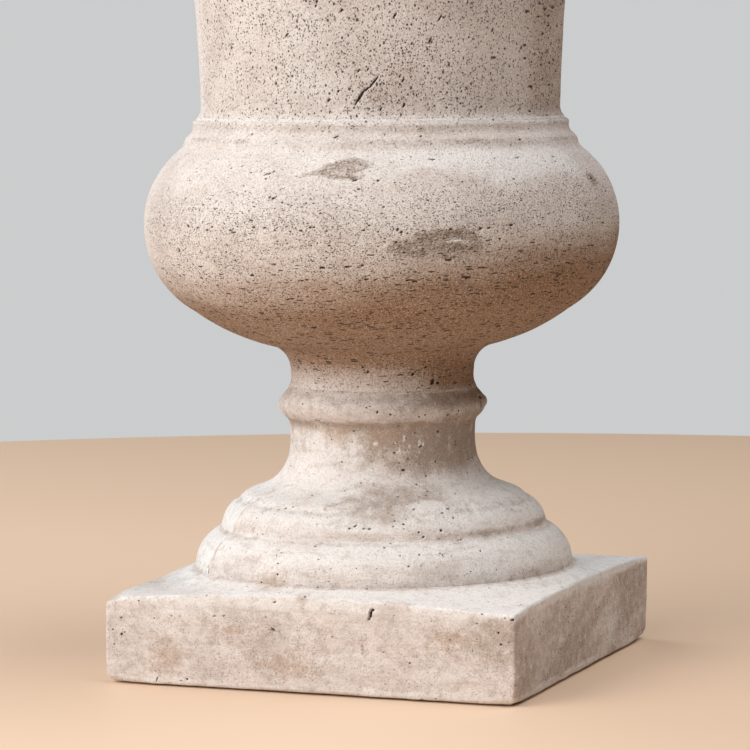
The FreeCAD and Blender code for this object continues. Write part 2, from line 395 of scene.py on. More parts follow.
# ---------------------------------------------------------------- materials
class Nodes:
    """Short names for building a node material."""

    def __init__(self, name):
        self.material = bpy.data.materials.new(name)
        self.material.use_nodes = True
        self.tree = self.material.node_tree
        self.tree.nodes.clear()
        self.shader = self.tree.nodes.new("ShaderNodeBsdfPrincipled")
        output = self.tree.nodes.new("ShaderNodeOutputMaterial")
        self.tree.links.new(self.shader.outputs["BSDF"], output.inputs["Surface"])
        self.place = self.tree.nodes.new("ShaderNodeTexCoord").outputs["Object"]

    def link(self, value, socket):
        if isinstance(value, bpy.types.NodeSocket):
            self.tree.links.new(value, socket)
        else:
            socket.default_value = value

    def math(self, operation, a, b=0.0, clamp=False):
        node = self.tree.nodes.new("ShaderNodeMath")
        node.operation, node.use_clamp = operation, clamp
        self.link(a, node.inputs[0])
        self.link(b, node.inputs[1])
        return node.outputs[0]

    def times(self, *factors):
        total = factors[0]
        for factor in factors[1:]:
            total = self.math("MULTIPLY", total, factor)
        return total

    def sum(self, *parts):
        total = parts[0]
        for part in parts[1:]:
            total = self.math("ADD", total, part)
        return total

    def most(self, first, *others):
        for other in others:
            first = self.math("MAXIMUM", first, other)
        return first

    def sway(self, noise, strength):
        """Noise moved to lie evenly round 0."""
        return self.times(self.math("SUBTRACT", noise, 0.5), strength)

    def ease(self, value, low, high, first=0.0, last=1.0):
        """first below low, last above high and a smooth change between."""
        node = self.tree.nodes.new("ShaderNodeMapRange")
        node.interpolation_type = "SMOOTHSTEP"
        self.link(value, node.inputs["Value"])
        for socket, number in zip(node.inputs[1:5], (low, high, first, last)):
            self.link(number, socket)
        return node.outputs["Result"]

    def mix(self, factor, a, b):
        """Colour a, or colour b where factor is 1."""
        node = self.tree.nodes.new("ShaderNodeMix")
        node.data_type = "RGBA"
        self.link(factor, node.inputs[0])
        for value, socket in ((a, node.inputs[6]), (b, node.inputs[7])):
            self.link((*value, 1.0) if isinstance(value, tuple) else value, socket)
        return node.outputs[2]

    def scaled(self, x, y, z, place=None):
        node = self.tree.nodes.new("ShaderNodeVectorMath")
        node.operation = "MULTIPLY"
        self.link(place or self.place, node.inputs[0])
        node.inputs[1].default_value = (x, y, z)
        return node.outputs[0]

    def noise(self, size, detail=3.0, roughness=0.55, place=None, output="Fac"):
        """Cloudy noise whose features are about size millimetres across."""
        node = self.tree.nodes.new("ShaderNodeTexNoise")
        self.link(place or self.place, node.inputs["Vector"])
        node.inputs["Scale"].default_value = 1 / (size * MM)
        node.inputs["Detail"].default_value = detail
        node.inputs["Roughness"].default_value = roughness
        return node.outputs[output]

    def value(self, name):
        node = self.tree.nodes.new("ShaderNodeAttribute")
        node.attribute_name = name
        return node.outputs["Fac"]

    def broken(self, name, coarse, fine, low=0.25, high=0.70):
        """A stored share whose edge is broken up by noise of two sizes, in millimetres."""
        large = self.sway(self.noise(coarse, 3.0), 0.9)
        small = self.sway(self.noise(fine, 2.0, 0.7), 0.8)
        return self.ease(self.sum(self.value(name), large, small), low, high)

    def pores(self, cell, least, most, share, place):
        """Round pores, one per cell at most. The cell is in millimetres, the radii are parts of a cell, and
        share is how many of the cells hold one."""
        node = self.tree.nodes.new("ShaderNodeTexVoronoi")
        self.link(place, node.inputs["Vector"])
        node.inputs["Scale"].default_value = 1 / (cell * MM)
        split = self.tree.nodes.new("ShaderNodeSeparateColor")
        self.link(node.outputs["Color"], split.inputs[0])
        radius = self.math("MULTIPLY_ADD", split.outputs[0], most - least)
        radius.node.inputs[2].default_value = least
        there = self.math("LESS_THAN", split.outputs[1], share)
        edge = self.math("SUBTRACT", self.times(radius, there), node.outputs["Distance"])
        return self.math("DIVIDE", edge, 0.08, clamp=True)

    def finish(self, colour, roughness, height_mm, specular=0.3):
        self.link(colour, self.shader.inputs["Base Color"])
        self.link(roughness, self.shader.inputs["Roughness"])
        self.shader.inputs["Specular IOR Level"].default_value = specular
        bump = self.tree.nodes.new("ShaderNodeBump")
        bump.inputs["Distance"].default_value = MM
        self.link(height_mm, bump.inputs["Height"])
        self.link(bump.outputs["Normal"], self.shader.inputs["Normal"])
        return self.material


STONE_LIGHT = (0.686, 0.626, 0.590)
STONE_PALE = (0.722, 0.686, 0.662)
STONE_GREY = (0.570, 0.503, 0.468)
STONE_WARM = (0.690, 0.618, 0.582)
# brownish tone under the bowl's bulge, also standing for painted shade
BROWN_AND_SHADE = (0.300, 0.178, 0.100)
# filler in the scars, and painted shade in the crease under the band
FILLER_AND_SHADE_BROWN = (0.350, 0.240, 0.170)
PORE_BROWN = (0.060, 0.040, 0.030)
PIT_DARK = (0.045, 0.030, 0.023)
# limewash white, which also carries painted light on the pedestal
LIME_AND_LIGHT_WHITE = (0.770, 0.745, 0.725)
# bluish white of painted cool light
PAINTED_COOL_LIGHT = (0.765, 0.775, 0.780)
STAIN_BROWN = (0.440, 0.315, 0.235)
# dirt, and painted shade under and between the pedestal's mouldings
DIRT_AND_SHADE_BROWN = (0.350, 0.268, 0.215)
SAND_DARK = (0.250, 0.185, 0.150)
SAND_LIGHT = (0.850, 0.800, 0.770)
ZINC_DARK, ZINC_BRIGHT, ZINC_BLOOM = (0.55, 0.56, 0.58), (0.68, 0.69, 0.70), (0.75, 0.75, 0.72)
DUST = (0.22, 0.20, 0.18)


def speckled(n, colour, strength=1.0):
    """Sand grains: fine darker and lighter specks over a colour, and the height they add."""
    grain = n.noise(1.1, 1.0, 0.6)
    clots = n.noise(2.8, 3.0, 0.65)
    colour = n.mix(n.ease(grain, 0.50, 0.68, 0.0, 0.72 * strength), colour, n.mix(0.55, colour, SAND_DARK))
    colour = n.mix(n.ease(grain, 0.32, 0.49, 0.62 * strength, 0.0), colour, n.mix(0.45, colour, SAND_LIGHT))
    colour = n.mix(n.ease(clots, 0.50, 0.72, 0.0, 0.30), colour, n.mix(0.6, colour, SAND_DARK))
    return colour, n.sum(n.times(grain, 0.30), n.times(clots, 0.26))


def with_holes(n, colour, pores, darkness):
    """Darkens the pores, which are drawn here, and the pits, which are pressed into the mesh, with dirt and
    painted shade.
    """
    colour = n.mix(n.times(pores, darkness), colour, PORE_BROWN)
    return n.mix(n.ease(n.value("pit"), 0.20, 0.75, 0.0, 0.92), colour, PIT_DARK)


def stone(name, flatten, turning_share):
    """Cast stone of the bowl and bell. The mesh says where it is porous, paler with some painted light, browner
    with painted shade, stained, and patched with filler and painted shade.
    flatten squeezes the pores upright (above 1) or stretches them (below 1), and turning_share is how
    strongly the pale turning lines show."""
    n = Nodes(name)
    stir = n.tree.nodes.new("ShaderNodeVectorMath")          # moves the pores about, so that none is round
    stir.operation = "MULTIPLY_ADD"
    n.link(n.noise(1.3, 2.0, output="Color"), stir.inputs[0])
    stir.inputs[1].default_value = (0.0006,) * 3
    n.link(n.scaled(1, 1, flatten), stir.inputs[2])
    place = stir.outputs[0]
    drift = n.ease(n.noise(16, 3.0, place=n.scaled(0.6, 0.6, flatten)), 0.34, 0.60, 0.45, 1.0)
    share = n.times(n.value("porous"), drift)
    fine = n.pores(1.2, 0.22, 0.42, n.times(share, 0.9), place)
    middle = n.pores(2.1, 0.16, 0.34, n.times(share, 0.56), n.scaled(1.03, 0.97, 1.01, place))
    large = n.pores(4.4, 0.12, 0.23, n.times(share, 0.40), n.scaled(0.96, 1.05, 1.0, place))
    brown_and_shade = n.value("brown_and_shade")
    ranks = n.ease(n.noise(14, 3.0, 0.6, place=n.scaled(0.5, 0.5, 3.0)), 0.36, 0.62, 0.35, 1.0)
    dashes = n.pores(4.6, 0.12, 0.44, n.times(brown_and_shade, ranks), n.scaled(0.8, 0.8, 2.4, place))
    pores = n.most(n.times(fine, 0.82), middle, large, dashes)

    clouds = n.noise(38, 4.0, 0.6)
    turning = n.noise(30, 4.0, 0.7, place=n.scaled(0.25, 0.25, 7.0))
    layers = n.noise(18, 3.0, 0.6, place=n.scaled(0.35, 0.35, 1.8))
    # browner band under the bulge: a brownish tone and painted shade, broken up by layers and grain
    skin = n.sum(brown_and_shade, n.sway(layers, 0.55), n.sway(n.noise(1.6, 2.0, 0.7), 0.45))
    colour = n.mix(n.ease(clouds, 0.35, 0.68), STONE_LIGHT, STONE_GREY)
    for amount, paint in (
        (n.times(n.ease(turning, 0.45, 0.75), turning_share), STONE_PALE),
        # paler skin, with painted light on the bowl's shoulder
        (n.broken("pale_and_light", 9, 1.6, 0.15, 0.95), STONE_PALE),
        (n.ease(skin, 0.05, 0.95, 0.0, 0.97), BROWN_AND_SHADE),
        (n.times(n.broken("stain", 8, 1.5), 0.5), STAIN_BROWN),
    ):
        colour = n.mix(amount, colour, paint)
    colour, sand = speckled(n, colour)

    streaks = n.noise(5, 4.0, 0.7, place=n.scaled(0.4, 0.4, 2.0))
    patch_and_shade = n.times(n.broken("patch_and_shade", 4, 1.2, 0.20, 1.00), n.ease(streaks, 0.30, 0.60, 0.45, 1.0))
    wrinkles = n.noise(4.2, 2.0, 0.6, place=n.scaled(0.7, 0.7, 1.3))
    crinkle = n.math("ABSOLUTE", n.math("SUBTRACT", wrinkles, 0.5))
    # filler in the scars, and painted shade in the crease under the band
    colour = n.mix(n.times(patch_and_shade, 0.62), colour, FILLER_AND_SHADE_BROWN)
    colour = n.mix(n.times(patch_and_shade, n.ease(crinkle, 0.0, 0.035, 0.58, 0.0)), colour, PORE_BROWN)
    colour = with_holes(n, colour, pores, 0.92)
    height = n.sum(n.times(pores, -0.40), sand, n.times(n.noise(5, 3.0), 0.30),
                   n.times(patch_and_shade, n.ease(crinkle, 0.0, 0.12), 1.1))
    return n.finish(colour, n.ease(clouds, 0.3, 0.7, 0.80, 0.93), height)


def limewashed_stone(name):
    """Cast stone of the pedestal under a cloudy whitish limewash, with dirt on it, painted shade in its grooves
    and under its mouldings, and painted light on some of its faces.
    """
    n = Nodes(name)
    bare = n.math("SUBTRACT", 1.0, n.times(n.value("wash_and_light"), 0.8))
    share = n.times(n.ease(n.noise(20, 3.0), 0.42, 0.66, 0.08, 0.9), bare)
    fine = n.pores(1.5, 0.14, 0.32, share, n.scaled(1, 1, 1.5))
    middle = n.pores(3.4, 0.12, 0.27, n.times(share, 0.6), n.scaled(1.02, 0.98, 1.4))
    pores = n.most(n.times(fine, 0.6), middle)

    clouds = n.noise(30, 5.0, 0.65)
    small = n.noise(6, 4.0, 0.7)
    brushed = n.noise(16, 5.0, 0.7, place=n.scaled(0.4, 0.4, 2.2))
    streaks = n.noise(6, 3.0, 0.7, place=n.scaled(0.30, 0.30, 2.2))
    colour = n.mix(n.ease(clouds, 0.38, 0.62), STONE_WARM, STONE_GREY)
    # the stored shares: limewash with painted light, painted cool light, and dirt with painted shade
    for amount, paint in (
        (n.times(n.ease(brushed, 0.40, 0.66), 0.55), LIME_AND_LIGHT_WHITE),
        (n.times(n.broken("wash_and_light", 7, 1.4, 0.15, 0.95), 0.9), LIME_AND_LIGHT_WHITE),
        (n.times(n.broken("painted_cool_light", 9, 1.6, 0.15, 0.95), 0.8), PAINTED_COOL_LIGHT),
        (n.times(n.broken("patch_and_shade", 6, 1.2, 0.12, 1.05), 0.85), DIRT_AND_SHADE_BROWN),
        (n.times(n.broken("stain", 6, 1.2, 0.12, 1.10), 0.85), STAIN_BROWN),
    ):
        colour = n.mix(amount, colour, paint)
    colour = n.mix(n.ease(streaks, 0.52, 0.70, 0.0, 0.45), colour, n.mix(0.55, colour, DIRT_AND_SHADE_BROWN))
    colour = n.mix(n.ease(small, 0.50, 0.72, 0.0, 0.50), colour, n.mix(0.6, colour, DIRT_AND_SHADE_BROWN))
    colour = n.mix(n.ease(small, 0.28, 0.44, 0.50, 0.0), colour, LIME_AND_LIGHT_WHITE)
    colour, sand = speckled(n, colour, 0.55)
    colour = with_holes(n, colour, pores, 0.82)
    height = n.sum(n.times(pores, -0.40), sand, n.times(small, 0.55), n.times(brushed, 0.40))
    return n.finish(colour, n.ease(clouds, 0.3, 0.7, 0.82, 0.94), height)


def mortar(name, light, dark):
    """Sandy joint mortar, struck flush and close to the stone beside it in colour."""
    n = Nodes(name)
    pores = n.pores(2.4, 0.14, 0.34, 0.55, n.place)
    colour, sand = speckled(n, n.mix(n.ease(n.noise(9, 3.0), 0.35, 0.65), light, dark))
    colour = n.mix(n.times(pores, 0.8), colour, PORE_BROWN)
    return n.finish(colour, 0.93, n.sum(sand, n.times(pores, -0.3)))


def zinc():
    """Zinc-plated steel with its crystalline mottling and a little white bloom."""
    n = Nodes("zinc_plated_steel")
    spangle = n.noise(2.2, 3.0, 0.6)
    bloom = n.noise(5, 4.0, 0.7)
    colour = n.mix(n.ease(spangle, 0.35, 0.65), ZINC_DARK, ZINC_BRIGHT)
    colour = n.mix(n.ease(bloom, 0.58, 0.8, 0.0, 0.6), colour, ZINC_BLOOM)
    n.shader.inputs["Metallic"].default_value = 1.0
    return n.finish(colour, n.ease(bloom, 0.4, 0.75, 0.28, 0.62), n.times(spangle, 0.03), 0.5)


def rubber(name, tone):
    """Dull rubber with a fine moulded grain and dust."""
    n = Nodes(name)
    dust = n.noise(3.0, 4.0, 0.7)
    colour = n.mix(n.ease(dust, 0.5, 0.8, 0.0, 0.5), tone, DUST)
    return n.finish(colour, n.ease(dust, 0.4, 0.7, 0.72, 0.88), n.times(n.noise(0.35, 2.0), 0.08), 0.35)


# ---------------------------------------------------------------- marks on a casting's surface
def seam_ridge(points, azimuth, width=0.7):
    """Share of the thin raised line that the mould's joints left at an angle and its opposite."""
    r = np.hypot(points[..., 0], points[..., 1])
    off = turned_by(azimuth_of(points), azimuth)
    off = np.minimum(np.abs(off), np.abs(np.abs(off) - 180))
    return bell_curve(np.radians(off) * r, width)


def oval(points, azimuth, height, half_wide, half_high, lean=0.0):
    """Distance from the middle of an oval lying on the surface, 1 at its edge."""
    r = np.hypot(points[..., 0], points[..., 1])
    across = np.radians(turned_by(azimuth_of(points), azimuth)) * r
    up = points[..., 2] - height
    a = math.radians(lean)
    u, v = across * math.cos(a) + up * math.sin(a), up * math.cos(a) - across * math.sin(a)
    return np.hypot(u / half_wide, v / half_high)


def blot(points, place, inner, outer, ragged=0.0):
    """1 within the inner share of an oval, 0 beyond the outer one. place is the oval's angle, height,
    half-width, half-height and lean, and ragged is noise that breaks its edge up."""
    return below(oval(points, *place) + ragged, inner, outer)


class Skin:
    """Surface of a finished casting: where its vertices lie, and the shares that its material reads."""

    def __init__(self, mesh, field):
        self.mesh, self.field, self.co = mesh, field, positions(mesh)
        self.azimuth, self.z = azimuth_of(self.co), self.co[:, 2]
        self.r = np.hypot(self.co[:, 0], self.co[:, 1])

    def around(self, middle, inner, outer):
        return around(self.azimuth, middle, inner, outer)

    def blot(self, place, inner, outer, ragged=0.0):
        return blot(self.co, place, inner, outer, ragged)

    def clouds(self, size, low, high, flatten=1, shift=0, octaves=3):
        """Soft patches about size across. flatten above 1 makes them low and wide; shift gives other ones."""
        return smooth(self.field.cloud(self.co * (1, 1, flatten) + shift, size, octaves), low, high)

    def keep(self, name, *shares):
        """Stores the largest of some shares for each vertex."""
        keep_values(self.mesh, name, np.clip(np.maximum.reduce(shares), 0, 1))


# ---------------------------------------------------------------- the bell: drum, flare and rolled rim
DRUM_SEAM = -52.0            # angle of the casting seam on the drum; the mould's other seam is opposite
BELL_FOOT = 324.2            # level of the bell's underside
FINE, COARSE = 2.0, 5.0      # spacing of the points outside and inside a casting
DRUM_LEAN = 58.0             # the drum's air holes lean this far from level


def bell_outline(top):
    outline = (
        Outline(LAP_BORE, BELL_FOOT)
        .to(108.0, BELL_FOOT, 2.5)
        .arc((107.0, 325.6), (106.6, 330.0), 1.2)
        .arc((107.9, 365.0), (110.1, 400.0), FINE)
        .curve((113.6, 435.0), (121.6, 466.0), (134.2, 490.0), (148.0, 505.0), gap=FINE)
        .curve((150.0, 511.0), gap=1.2)
        .arc((RIM_RADIUS, 522.0), (150.0, top), 1.7)
        .to(146.0, top, 1.6)
        .arc((143.9, 537.9), (143.0, 535.8), 1.0)
        .curve((137.0, 516.0), (120.0, 487.0), (106.0, 455.0), (98.6, 420.0), (96.0, 390.0),
               (MOUTH_RADIUS, 331.0), gap=COARSE)
        .to(LAP_BORE, 331.0, 2.5)
        .to(LAP_BORE, BELL_FOOT, 2.5)
    ).array()[:-1]
    return soften(outline, 326.0, 345.0, 104.0, 4)


def bell_pits(grid, outside):
    pits = Pits(grid, outside, 21)
    pits.stroke((13.3, 333.8), (16.2, 342.4), 0.95, 1.6)       # the long broken crack low on the drum
    pits.stroke((16.0, 341.0), (17.4, 343.2), 0.75, 1.2)
    pits.stroke((17.3, 342.2), (20.4, 349.6), 0.70, 1.3)
    for azimuth, height, length, width in (
        (36.0, 369.3, 2.6, 0.65), (39.0, 381.5, 2.8, 0.6), (27.8, 347.0, 1.9, 0.6), (28.1, 333.1, 1.6, 0.7),
        (25.4, 383.3, 2.2, 0.7), (5.0, 336.1, 1.5, 0.8), (9.5, 386.3, 1.6, 0.7), (14.4, 352.6, 1.6, 0.6),
        (17.2, 353.2, 1.3, 0.5), (21.0, 331.0, 1.6, 0.6), (8.0, 341.0, 1.2, 0.6), (92.4, 348.7, 2.0, 0.7),
    ):
        pits.add(pits.spot(azimuth, height), length, width, 1.0, lean=DRUM_LEAN)

    def chance(azimuth, height):
        return 0.75 if abs(turned_by(azimuth, DRUM_SEAM - 12)) > 11 else 0.05

    pits.scatter(520, chance, (0.40, 0.72), (1.0, 2.4), 1.0, lean=DRUM_LEAN)
    return pits


def paint_bell(skin):
    foot = below(skin.z, BELL_UNDERSIDE + 1.5, BELL_UNDERSIDE + 4) * (0.6 + 0.4 * skin.field(skin.co, 9))
    strip = 0.8 * skin.around(DRUM_SEAM - 13, 6, 17)           # smooth skin beside the seam
    lip = smooth(skin.r, RIM_RADIUS - 6, RIM_RADIUS - 1) * skin.clouds(24, -0.4, 0.5) * 0.8
    bleached = 0.45 * skin.around(6, 8, 26) * skin.clouds(40, -0.8, 0.3)
    skin.keep("pale_and_light", 0.6 * foot, strip, lip, bleached, 0.6 * seam_ridge(skin.co, DRUM_SEAM))
    skin.keep("stain", 0.45 * skin.clouds(34, 0.25, 1.1, shift=90))
    skin.keep("patch_and_shade", 0.5 * skin.blot((20.5, 338.0, 9.0, 9.0, 40), 0.4, 1.3))
    # browner right side of the drum: painted shade
    skin.keep("brown_and_shade", 0.40 * skin.around(100, 15, 50))
    off = turned_by(skin.azimuth, 20)
    porous = 0.65 + 0.35 * smooth(off, -50, 10) * below(off, 100, 160)
    skin.keep("porous", porous * (1 - strip) * (1 - 0.7 * lip) * (1 - 0.4 * foot))


def make_bell():
    top = RIM_TOP - PAD_TOP
    outline = bell_outline(top)
    grid = turn(outline, spokes(368))
    grid[..., 2] += PAD_TOP
    normals, heights = grid_normals(grid), grid[..., 2]
    field = Noise(11)
    outside = np.zeros(len(outline), bool)
    outside[3:int(np.argmax(outline[:, 1] >= top - 0.01)) + 1] = True
    free = smooth(heights, BELL_UNDERSIDE + 1, BELL_UNDERSIDE + 6)
    lift = 0.30 * field(grid, 46) + 0.10 * field(grid, 13) + 0.05 * field(grid, 4)
    lift += 0.25 * seam_ridge(grid, DRUM_SEAM) * smooth(field(grid, 20), -0.5, 0.3)
    lift -= 0.35 * below(heights, RIM_TOP - 4, RIM_TOP + 0.01)
    grid += (np.minimum(lift, 0.25) * free)[..., None] * normals
    grid[..., 2] = np.minimum(grid[..., 2], RIM_TOP)
    pits = bell_pits(grid, outside)
    mesh = mesh_of("bell_casting", grid)
    pits.press(mesh, Noise(31))
    paint_bell(Skin(mesh, field))
    finish_piece(mesh, stone("body_stone_bell", 0.75, 0.12), "body_stone", "bell")


# ---------------------------------------------------------------- the bowl: neck, bulge, shoulder and band
BELLY = (82.7, 261.0, 58.0)          # centre radius, centre level and radius of the bowl's lower arc
SHOULDER = (84.7, 261.0, 56.0)
NECK_FILLET = (70.6, 174.0, 16.0)
BOWL_FOOT, BOWL_TOP, LAP_TOP = 165.4, 322.4, 330.4      # levels of its underside, its edge and its lap
POCKET_RADIUS, POCKET_LEVEL = 24.0, 196.0    # recess in the bowl's floor for nut and washer
SPIGOT_SEAT = (31.0, 174.4)                  # radius and level of the pocket over the pedestal's spigot
BOWL_SEAM = -50.0
PIT_ROWS = ((265.0, 1.6), (237.5, 2.2))      # heights and spreads where air gathered in level rows of pits
PITS_IN_ROW = 34
BAND_FOOT = 312.5                            # height of the crease between the shoulder and the band, darkened with painted shade
CRESCENT_EDGE = (39.5, 257.4)                # angle and height of the lip of filler in the large scar
SCAR_HOLLOW = (39.5, 261.0)


def bowl_outline():
    outline = (
        Outline(55.2, BOWL_FOOT)
        .curve((54.5, 167.6), (54.3, 171.0), (54.6, 174.0), gap=1.2)
        .arc(on_arc(*NECK_FILLET, 145), on_arc(*NECK_FILLET, 107), 1.8)
        .arc((89.6, 197.6), on_arc(*BELLY, -60), FINE)
        .arc(on_arc(*BELLY, -30), (140.7, 261.0), FINE)
        .arc(on_arc(*SHOULDER, 30), on_arc(*SHOULDER, 54.5), FINE)
        .curve((116.6, 307.4), gap=1.0)
        .arc((116.6, 310.4), (113.6, 314.0), 1.2)
        .arc((111.8, 315.6), (111.0, 318.0), 1.0)
        .to(111.2, 320.0, 1.0)
        .arc((110.7, 321.8), (109.2, BOWL_TOP), 0.8)
        .to(LAP_RADIUS, BOWL_TOP, 3.0)
        .to(LAP_RADIUS, LAP_TOP, 2.7)
        .to(MOUTH_RADIUS, LAP_TOP, 3.0)
        .to(MOUTH_RADIUS, 318.0, 4.0)
        .arc((93.6, 312.5), (97.6, 309.0), 2.5)
        .arc((118.0, 291.0), (126.7, 261.0), COARSE)
        .arc((110.0, 226.0), (62.0, 204.0), COARSE)
        .curve((POCKET_RADIUS, 204.0), gap=COARSE)
        .to(POCKET_RADIUS, POCKET_LEVEL, 2.7)
        .to(ROD_HOLE_RADIUS, POCKET_LEVEL, 4.0)
        .to(ROD_HOLE_RADIUS, SPIGOT_SEAT[1], 7.0)
        .to(*SPIGOT_SEAT, 6.0)
        .to(SPIGOT_SEAT[0], BOWL_FOOT, 4.5)
        .to(55.2, BOWL_FOOT, 4.0)
    ).array()[:-1]
    return soften(outline, 303.0, 321.0, 104.0, 5)


def scars(grid, field):
    """Height of the two filled scars: a long low one on the shoulder, a larger wrinkled one at the bulge."""
    filler = oval(grid, 11.4, 298.6, 19.0, 5.6, 8)
    lift = 0.55 * below(filler, 0.85, 1.15) * smooth(field(grid * (1, 1, 2), 7), -0.8, 0.6)
    lift -= 0.50 * blot(grid, (14.0, 293.0, 13.0, 1.4), 0.4, 1.2)
    ragged = 0.22 * field(grid, 9) + 0.12 * field(grid, 4)
    wrinkled = blot(grid, (34.5, 256.2, 27.5, 8.5, 2), 0.8, 1.1, ragged)
    lift += wrinkled * (0.60 * field(grid * (1, 1, 1.6), 5) + 0.50 * field(grid, 2.6) - 0.15)
    lift += 0.90 * blot(grid, (*CRESCENT_EDGE, 10.0, 1.2, -4), 0.5, 1.3)
    lift -= 0.60 * blot(grid, (*SCAR_HOLLOW, 10.5, 3.0, -3), 0.5, 1.2, ragged)
    return lift + 0.60 * blot(grid, (28.0, 252.6, 6.5, 2.2, 8), 0.4, 1.3, ragged)


def bowl_pits(grid, outside):
    pits = Pits(grid, outside, 22)
    pits.add_by_hand(0.7, (
        (-8.9, 295.2, 1.5, 0.55, 40), (-7.9, 296.0, 1.3, 0.5, 60), (-7.0, 296.8, 1.4, 0.55, 50),
        (-6.2, 282.6, 1.5, 0.5, 70), (-5.2, 282.4, 1.6, 0.6, 15), (-4.5, 283.0, 1.0, 0.45, 60),
        (-43.8, 285.6, 1.9, 0.5, 55), (-22.0, 300.0, 1.3, 0.45, 65), (-17.5, 299.3, 1.2, 0.45, 60),
        (-35.4, 250.9, 1.6, 1.4, 0), (-2.9, 225.1, 2.8, 0.6, 4), (-14.8, 207.0, 1.6, 1.1, 0),
        (9.8, 209.5, 3.6, 0.6, -6), (3.3, 204.8, 2.6, 0.55, 0), (-24.0, 231.5, 1.3, 0.7, -20),
        (41.6, 237.4, 4.2, 0.7, -3), (36.4, 247.4, 2.2, 0.6, 3), (7.0, 243.5, 1.9, 0.8, 5),
        (13.0, 244.2, 2.2, 0.7, 3), (16.5, 245.0, 1.2, 0.9, 0), (20.2, 292.0, 1.2, 0.7, 20),
        (14.6, 292.3, 2.0, 0.6, 25), (64.0, 313.0, 1.4, 0.6, 10), (32.4, 316.0, 1.3, 0.5, 40),
        (53.7, 171.8, 1.9, 1.2, 60), (57.5, 170.6, 1.3, 1.0, 0), (40.0, 176.5, 1.2, 0.9, 20),
        (12.0, 178.0, 1.0, 0.7, 0), (48.0, 180.0, 1.1, 0.8, 30), (86.0, 289.6, 1.0, 0.7, 0),
        (34.4, 303.5, 2.6, 0.5, 0), (59.5, 303.0, 1.8, 0.5, 5), (73.6, 302.5, 1.8, 0.6, -10),
        (81.0, 298.5, 1.4, 0.6, 60), (8.0, 316.0, 1.7, 0.8, 30), (-20.0, 317.0, 1.0, 0.6, 50),
    ))

    def chance(low, high, inside, outside_it):
        """Share of holes kept: one share between two heights and another elsewhere, few beside the seam."""
        def kept(azimuth, height):
            share = inside if low < height <= high else outside_it
            return share * (0.15 if abs(turned_by(azimuth, BOWL_SEAM - 14)) < 13 else 1.0)
        return kept

    pits.scatter(480, chance(228, 280, 0.9, 0.12), (0.40, 0.72), (1.0, 2.2), 1.0, lean=8)
    pits.scatter(300, chance(196, 245, 0.95, 0.10), (0.38, 0.62), (1.5, 5.0), 1.0, lean=0)
    for height, spread in PIT_ROWS:
        draw = pits.random.uniform
        row = zip(draw(-60, 115, PITS_IN_ROW), draw(-1, 1, PITS_IN_ROW), draw(0.45, 0.85, PITS_IN_ROW))
        for azimuth, rise, size in row:
            pits.add(pits.spot(azimuth, height + spread * rise), size * 2.0, size, 0.9 * size, 3)
    return pits


